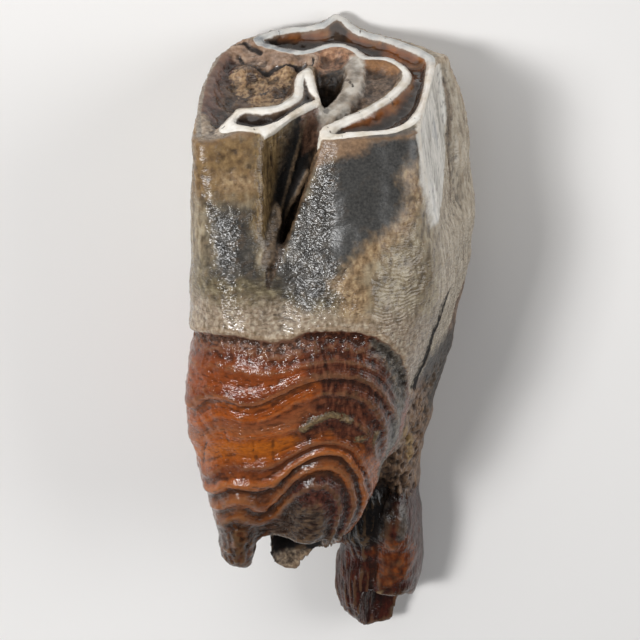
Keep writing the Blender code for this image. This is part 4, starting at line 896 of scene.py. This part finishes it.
# Layers of the surface from the bottom up: field, softness of its edge, how far and at what size the edge wanders,
# colours across the grain (the root takes its own from BANDS), size of the grain and roughness.
LAYERS = [
    ("olive", 2, 2.4, 1.8, "#423a2c #675c47 #8f8369", (1, 0.8, 1), 0.13),
    ("beige", 1.8, 1.8, 2, "#6b5d48 #958370 #bbae99", (0.6, 0.8, 0.6), 0.15),
    ("golden", 2, 2.4, 1.8, "#564430 #6d5539 #7f6644 #8f7450", (0.8, 1, 0.8), 0.32),
    ("slate", 1.5, 2.2, 1.8, "#2b2927 #3f3c38 #5a554e", (1.4, 1.6, 1.4), 0.19),
    ("charcoal", 0.9, 1, 1.4, "#2f2e2d #3e3d3b #4b4946", 0.35, 0.34),
    ("ochre", 1.6, 1.8, 1.4, "#655038 #92785a #b59d7a", (0.6, 0.9, 0.6), 0.32),
    ("underrim", 0.8, 0.9, 0.9, "#6a5340 #92765c", 0.5, 0.34),
    # The crown's front side: its own tan, made paler as painted light for the light it takes from the right.
    ("side", 1.2, 1.2, 2, "#857765 #ada08c #c6bba9", (0.6, 4, 0.6), 0.26),
    ("facet", 0.5, 0.5, 1.2, "#a4a29c #cdc9c1 #e7e3db #b4b4b2", (3, 9, 3), 0.16),
    ("facet_edge", 0.3, 0.3, 0.8, "#cdc6ba #ece6db", (0.8, 2, 0.8), 0.22),
    ("facet_stain", 0.5, 0.6, 1, "#4e4032 #86745f", (0.5, 3, 0.5), 0.26),
    ("valley", 0.4, 0.4, 0.6, "#1f1812 #3c3025 #5e4b3a", (0.5, 2, 0.5), 0.32),
    ("wall", 0.9, 0.6, 0.6, "#453626 #705b3c #957e59", (0.35, 3.5, 0.35), 0.3),
    # Painted shade: the narrow bottom of the valley, near black.
    ("core", 1, 0.6, 0.6, "#060504 #100d0a", (0.5, 1.5, 0.5), 0.8),
    ("front_pocket", 0.5, 0.6, 0.5, "#3a2e26 #685545 #8a7463", 0.5, 0.36),
    ("front_rust", 0.5, 0.6, 0.5, "#6e4a2c #9a6f48", 0.6, 0.36),
    ("reddish", 0.6, 0.7, 0.6, "#4a342a #785a48", 0.6, 0.3),
    ("rust", 0.5, 0.6, 0.6, "#5c4434 #9a7156 #c09878", 0.7, 0.32),
    ("fold", 0.5, 0.6, 0.9, "#746a5e #a39a8e #c9c2b7 #aaa297", 2.4, 0.1),
    ("slit", 0.1, 0.1, 0.5, "#1a1410 #2c241e", 0.6, 0.3),
    ("pocket", 0.25, 0.3, 0.5, "#281c16 #4a382d #6a5646", 1, 0.18),
    ("plum", 0.8, 0.8, 0.9, "#38251e #5c4036 #7a5a4c", (1.6, 2.2, 1.6), 0.12),
    ("shelf", 0.5, 1, 0.9, "#66503f #957a66 #bda590", 1.2, 0.18),
    ("gold", 0.5, 2.2, 0.7, "#5e4936 #9a7b5a #c0a480", 0.5, 0.38),
    ("corner", 0.5, 0.8, 0.7, "#6e5f50 #a5937f #ccbca8", 0.6, 0.3),
    ("flake", 0.2, 0.2, 0.5, "#40352b #7a6854", (0.6, 0.9, 0.6), 0.32),
    ("dentine", 0.12, 0.08, 0.5, "#1f1712 #32271f #42342a", (2.2, 2.2, 2.6), 0.1),
    ("amber", 1, 0.4, 1.4, "#7a4420 #9e5c2a #b87a40", (2.4, 2.4, 2.8), 0.1),
    ("glow", 0.3, 0.2, 1, "#6a5646 #8c7866", 2, 0.16),
    ("rim", 0.12, 0.1, 0.6, "#d2c6b2 #eee6d8 #fbf7ef #e4ddd0", 3, 0.12),
    ("cool", 2, 2, 1.6, "#b4b5b4 #d0d0cc #dad7d0", 2, 0.14),
    ("blue", 0.5, 0.3, 0.8, "#686c70 #94989a #b8b8b4", 1.2, 0.14),
    ("left_rim", 0.15, 0.15, 0.5, "#6a6056 #a39a8c", 0.6, 0.26),
    ("under", 0.3, 0.6, 0.8, "#43332a #6e5644 #94785e", (0.6, 2, 0.6), 0.32),
    ("bone_gold", 0.4, 0.9, 0.6, "#7a5f3a #a88a5c", 0.5, 0.4),
    # The back wing behind the crack: its grey-brown painted dark as the shade it lies in under the front plate.
    ("wing", 1.3, 1.9, 1.8, "#1a1714 #322d28 #4a433b", (0.6, 1.6, 0.6), 0.3),
    ("root", 0.2, 0.35, 0.8, "", 1, 0.13),
    ("maroon", 1.4, 1.8, 1.4, "#2a130d #502a1c #714430", (0.5, 1.8, 0.6), 0.14),
    ("knuckle", 1.2, 1, 0.9, "#1e1511 #3c2e25 #54453a", (1, 0.36, 0.8), 0.16),
    ("knuckle_top", 1.2, 1.2, 1, "#24110c #45221a #5e362a", (0.6, 1.2, 0.6), 0.13),
    ("tips", 0.9, 1, 1, "#1e0f08 #40240f #5c3520", 1, 0.16),
    # Painted shade: the root darkened to grey-brown where it turns away along its front edge.
    ("edge_grey", 0.9, 1.2, 1, "#332e28 #565047 #787064", (0.5, 1.5, 0.5), 0.28),
    ("front_root", 0.8, 0.8, 0.8, "#1a0805 #33130c #4a1f13", (0.9, 2.2, 0.9), 0.15),
    ("orange", 1.2, 1.4, 1, "#34160a #5c2a0f #7c3f18", (0.9, 1.2, 0.9), 0.15),
    ("crimson", 0.6, 0.6, 0.7, "#4c161e #74303a", (0.5, 0.8, 0.5), 0.18),
    ("fr_crest", 0.12, 0.12, 0.5, "#6a563c #94805e", 0.5, 0.3),
    # Painted shade: the recess under the crown beside the front root, near black.
    ("recess", 0.8, 0.6, 0.9, "#050303 #110a08", (0.6, 1.2, 0.6), 0.2),
    ("wax", 0.3, 0.6, 0.5, "#241e1c #5a5450", (0.4, 0.8, 0.4), 0.12),
    ("break", 0.5, 0.4, 0.6, "#463a2e #7c6a58 #a8957c", (0.5, 0.7, 0.5), 0.34),
    # Painted shade: the open canal at the broken root end, near black.
    ("canal", 0.6, 0.4, 0.6, "#040302 #080605", 0.6, 1),
    ("khaki", 0.25, 0.9, 0.5, "#352a1c #5a4c34 #7c6c4c", 0.4, 0.4),
    # Painted shade: the crack, near black down its gap.
    ("split", 0.25, 0.7, 0.9, "#050403 #0a0806", 0.5, 1),
    ("crack", 0.05, 0.06, 0.4, "#4a2a16 #5a341c", 0.5, 0.3),
    ("rim_crack", 0.05, 0.05, 0.3, "#4a3c30 #6a5848", 0.5, 0.4),
    ("shelf_crack", 0.1, 0.1, 0.4, "#1c1410 #30241c", 0.5, 0.5),
]
KEPT_INSIDE = {  # layers that show only where another one does
    "amber": "dentine", "glow": "dentine",
    "cool": "rim", "blue": "rim",
    "maroon": "root", "knuckle": "root", "knuckle_top": "root", "tips": "root", "edge_grey": "root",
    "orange": "front_root", "crimson": "front_root",
}
CROWN = ("#5f5444 #7e705c #988a72 #ab9f88", (0.8, 2, 0.8), 0.15)  # colours, grain and roughness under them all


def evenly(codes):
    """Spreads colours over the part of the noise range where its values lie."""
    codes = codes.split()
    return [(0.30 + 0.40 * i / (len(codes) - 1), code) for i, code in enumerate(codes)]


def fossil_material():
    """One material: all the layers, then growth lines, dirt with painted shade, and wear, then the fine bump."""
    material = bpy.data.materials.new("fossil_tooth")
    material.use_nodes = True
    tree = material.node_tree
    shader = tree.nodes["Principled BSDF"]
    nodes = Nodes(tree)

    codes, grain, roughness = CROWN
    colour = nodes.colours(nodes.noise(grain, 3, 0), evenly(codes))
    colour = nodes.tint(colour, nodes.step(nodes.noise((3.2, 4.5, 3.2), 3, 17.3), 0.48, 0.66), 0.4, "#5c4e38")
    colour = nodes.tint(colour, nodes.step(nodes.noise((2.6, 3, 2.6), 3, 31), 0.54, 0.70), 0.4, "#b8ac92")
    shares = {}
    for number, (name, soft, wander, size, codes, grain, gloss) in enumerate(LAYERS):
        edge = nodes.math("MULTIPLY_ADD", nodes.noise(size, 2, number), 2 * wander, -wander)
        share = nodes.step(nodes.math("ADD", nodes.field(name), edge), -soft, soft)
        if name in KEPT_INSIDE:
            share = nodes.times(share, shares[KEPT_INSIDE[name]])
        shares[name] = share
        if name == "root":
            layer = root_colour(nodes)
        else:
            layer = nodes.colours(nodes.noise(grain, 3, 0.7 * number), evenly(codes))
        colour = nodes.mix(share, colour, layer)
        roughness = nodes.blend(share, roughness, gloss)

    # Dark growth lines, level round the crown and along the rings of the root.
    sway = nodes.times(nodes.noise((2.2, 1.6, 2.2), 3, 4.2), 2.4)
    patchy = nodes.step(nodes.noise((1.1, 0.6, 1.1), 2, 12.9), 0.46, 0.64)
    swaying = nodes.times(nodes.math("ADD", nodes.field("up"), sway), 14.0)
    wave = nodes.times(nodes.step(nodes.math("SINE", swaying), 0.2, 0.95), nodes.field("lined"))
    colour = nodes.mix(nodes.times(wave, nodes.times(patchy, 0.5)), colour, linear("#3d3226"))
    ringed = nodes.math("MULTIPLY_ADD", sway, 0.3, nodes.field("level"))
    wave = nodes.step(nodes.math("SINE", nodes.times(ringed, 7.4)), 0.55, 0.98)
    rings = nodes.times(nodes.times(wave, shares["root"]), nodes.times(patchy, 0.5))
    colour = nodes.mix(rings, colour, linear("#2a140c"))

    # Dirt and painted shade in small hollows, paler worn edges, and painted shade, near black, in the deep ones.
    clean = nodes.math("MULTIPLY_ADD", shares["rim"], -0.9, 1.0)
    dirt_and_shade = nodes.times(nodes.step(nodes.field("hollow"), 0.02, 0.45), clean)
    colour = nodes.tint(colour, dirt_and_shade, 0.62, "#1e1510")
    worn = nodes.step(nodes.times(nodes.field("hollow"), -1.0), 0.05, 0.5)
    colour = nodes.tint(colour, worn, 0.14, "#b58e66")
    deep_shade = nodes.times(nodes.step(nodes.field("deep_hollow"), 0.35, 1.6), nodes.step(nodes.field("flake"), 0.1, -0.3))
    colour = nodes.tint(colour, deep_shade, 0.85, "#080605")
    tree.links.new(colour, shader.inputs["Base Color"])

    mottle = nodes.math("MULTIPLY_ADD", nodes.noise(0.7, 3, 21), 0.16, -0.08)
    tree.links.new(nodes.math("ADD", roughness, mottle), shader.inputs["Roughness"])
    shader.inputs["Specular IOR Level"].default_value = 0.5
    tree.links.new(fine_bump(nodes), shader.inputs["Normal"])
    return material


def root_colour(nodes):
    """The bands of the root, a little wavy and dappled."""
    along = nodes.math("MULTIPLY_ADD", nodes.noise((2, 1, 2), 2, 3.1), 1.2, -0.6)
    level = nodes.math("DIVIDE", nodes.math("ADD", nodes.field("level"), along), LEVEL_SPAN)
    bands = nodes.colours(level, [(at / LEVEL_SPAN, code) for at, code in BANDS])
    return nodes.tint(bands, nodes.step(nodes.noise(0.6, 3, 7.7), 0.30, 0.72), 0.35, "#4a2616")


def fine_bump(nodes):
    """Relief too fine for the mesh, as heights in mm."""

    def folded(size, seed):
        """Noise with sharp crests, 0 at the crests and negative between them."""
        around = nodes.math("SUBTRACT", nodes.noise(size, 2, seed), 0.5)
        return nodes.times(nodes.math("ABSOLUTE", around), -1.0)

    def raised(height, *factors):
        return nodes.math("ADD", height, nodes.times(*factors))

    wrinkled, leathery = nodes.field("wrinkled"), nodes.field("leathery")
    height = nodes.times(nodes.noise(0.4, 2, 1.3), nodes.field("calm"), 0.02)
    height = raised(height, folded((1.05, 0.55, 1.05), 2.9), wrinkled, 0.27)
    height = raised(height, folded((0.6, 0.32, 0.6), 8.3), wrinkled, 0.05)
    # Growth lines: level lines round the crown, level rings on the root.
    sway = nodes.times(nodes.noise(3, 1, 4.2), 2.2)
    lines = nodes.math("SINE", nodes.times(nodes.math("ADD", nodes.field("up"), sway), 11.0))
    height = raised(height, lines, nodes.field("lined"), 0.016)
    rings = nodes.math("SINE", nodes.times(nodes.math("MULTIPLY_ADD", sway, 0.12, nodes.field("level")), 13.0))
    height = raised(height, rings, leathery, 0.008)
    # Fibres, the leathery skin of the root, the rough collar at the neck, and enamel rounded along its worn lines.
    height = raised(height, nodes.noise((0.3, 3, 0.4), 2, 6.1), nodes.field("fibrous"))
    height = raised(height, folded((0.6, 0.36, 0.6), 9.4), leathery, 0.16)
    height = raised(height, folded((1, 0.7, 1), 5.7), nodes.field("collar"), 0.45)
    height = raised(height, nodes.step(nodes.field("rim"), -0.2, 0.55), 0.32)
    return nodes.add("Bump", {"Strength": 1.0, "Distance": MM, "Height": height}).outputs["Normal"]


# ---------------------------------------------------------------- stage, light and camera

LOOK_AT = Vector((-1.7, 6.3, 16.7)) * MM
CAMERA_TILT = np.radians(20.0)  # the camera leans this far towards the chewing surface from straight above
CAMERA_DISTANCE = 420 * MM
PICTURE_WIDTH = 640 / 6.75 * MM  # what the frame spans at the tooth
SENSOR = 36.0  # width of the camera's sensor, in millimetres
LIGHTS = [  # name, place and size in metres, power in watts
    ("key", (-0.36, 0.06, 0.52), 0.17, 2.4), ("glint", (-0.33, 0.05, 0.48), 0.05, 0.40),
    ("back", (-0.20, 0.42, 0.30), 0.40, 0.8), ("right", (0.60, 0.15, 0.36), 0.50, 2.4),
]


def plain_material(name, code, roughness):
    material = bpy.data.materials.new(name)
    material.use_nodes = True
    shader = material.node_tree.nodes["Principled BSDF"]
    shader.inputs["Base Color"].default_value = linear(code)
    shader.inputs["Roughness"].default_value = roughness
    return material


def floor():
    """A pale floor, which belongs to the stage."""
    bm = bmesh.new()
    bmesh.ops.create_grid(bm, x_segments=1, y_segments=1, size=1.5)
    obj = object_from(bm, "floor")
    obj.data.materials.append(plain_material("pale_floor", "#eceae8", 0.8))


def aim(obj, towards):
    """Turns a light so that it shines at the point."""
    obj.rotation_mode = "QUATERNION"
    obj.rotation_quaternion = (obj.location - towards).to_track_quat("Z", "Y")


def softbox(name, place, size, power):
    """A square area light that shines at the tooth."""
    light = bpy.data.lights.new(name, "AREA")
    light.size, light.energy = size, power
    obj = bpy.data.objects.new(name, light)
    bpy.context.scene.collection.objects.link(obj)
    obj.location = place
    aim(obj, LOOK_AT)


def studio():
    """Dim daylight all round, and the lights."""
    world = bpy.data.worlds.new("studio")
    world.use_nodes = True
    background = world.node_tree.nodes["Background"]
    background.inputs["Color"].default_value = (0.93, 0.96, 1.0, 1)
    background.inputs["Strength"].default_value = 0.10
    bpy.context.scene.world = world
    for light in LIGHTS:
        softbox(*light)


def camera():
    """The camera of the photo."""
    data = bpy.data.cameras.new("camera")
    data.sensor_width = SENSOR
    data.lens = SENSOR * CAMERA_DISTANCE / PICTURE_WIDTH
    obj = bpy.data.objects.new("camera", data)
    bpy.context.scene.collection.objects.link(obj)
    back = Vector((0, np.sin(CAMERA_TILT), np.cos(CAMERA_TILT)))
    up = Vector((0, np.cos(CAMERA_TILT), -np.sin(CAMERA_TILT)))
    turn = Matrix((Vector((1, 0, 0)), up, back)).transposed().to_4x4()
    obj.matrix_world = Matrix.Translation(LOOK_AT + back * CAMERA_DISTANCE) @ turn
    bpy.context.scene.camera = obj


def main():
    camera()
    piece = tooth()
    piece.data.materials.append(fossil_material())
    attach(piece, "root")
    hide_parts("tooth")
    floor()
    studio()
    bpy.context.scene.view_settings.view_transform = "Standard"
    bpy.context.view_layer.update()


main()
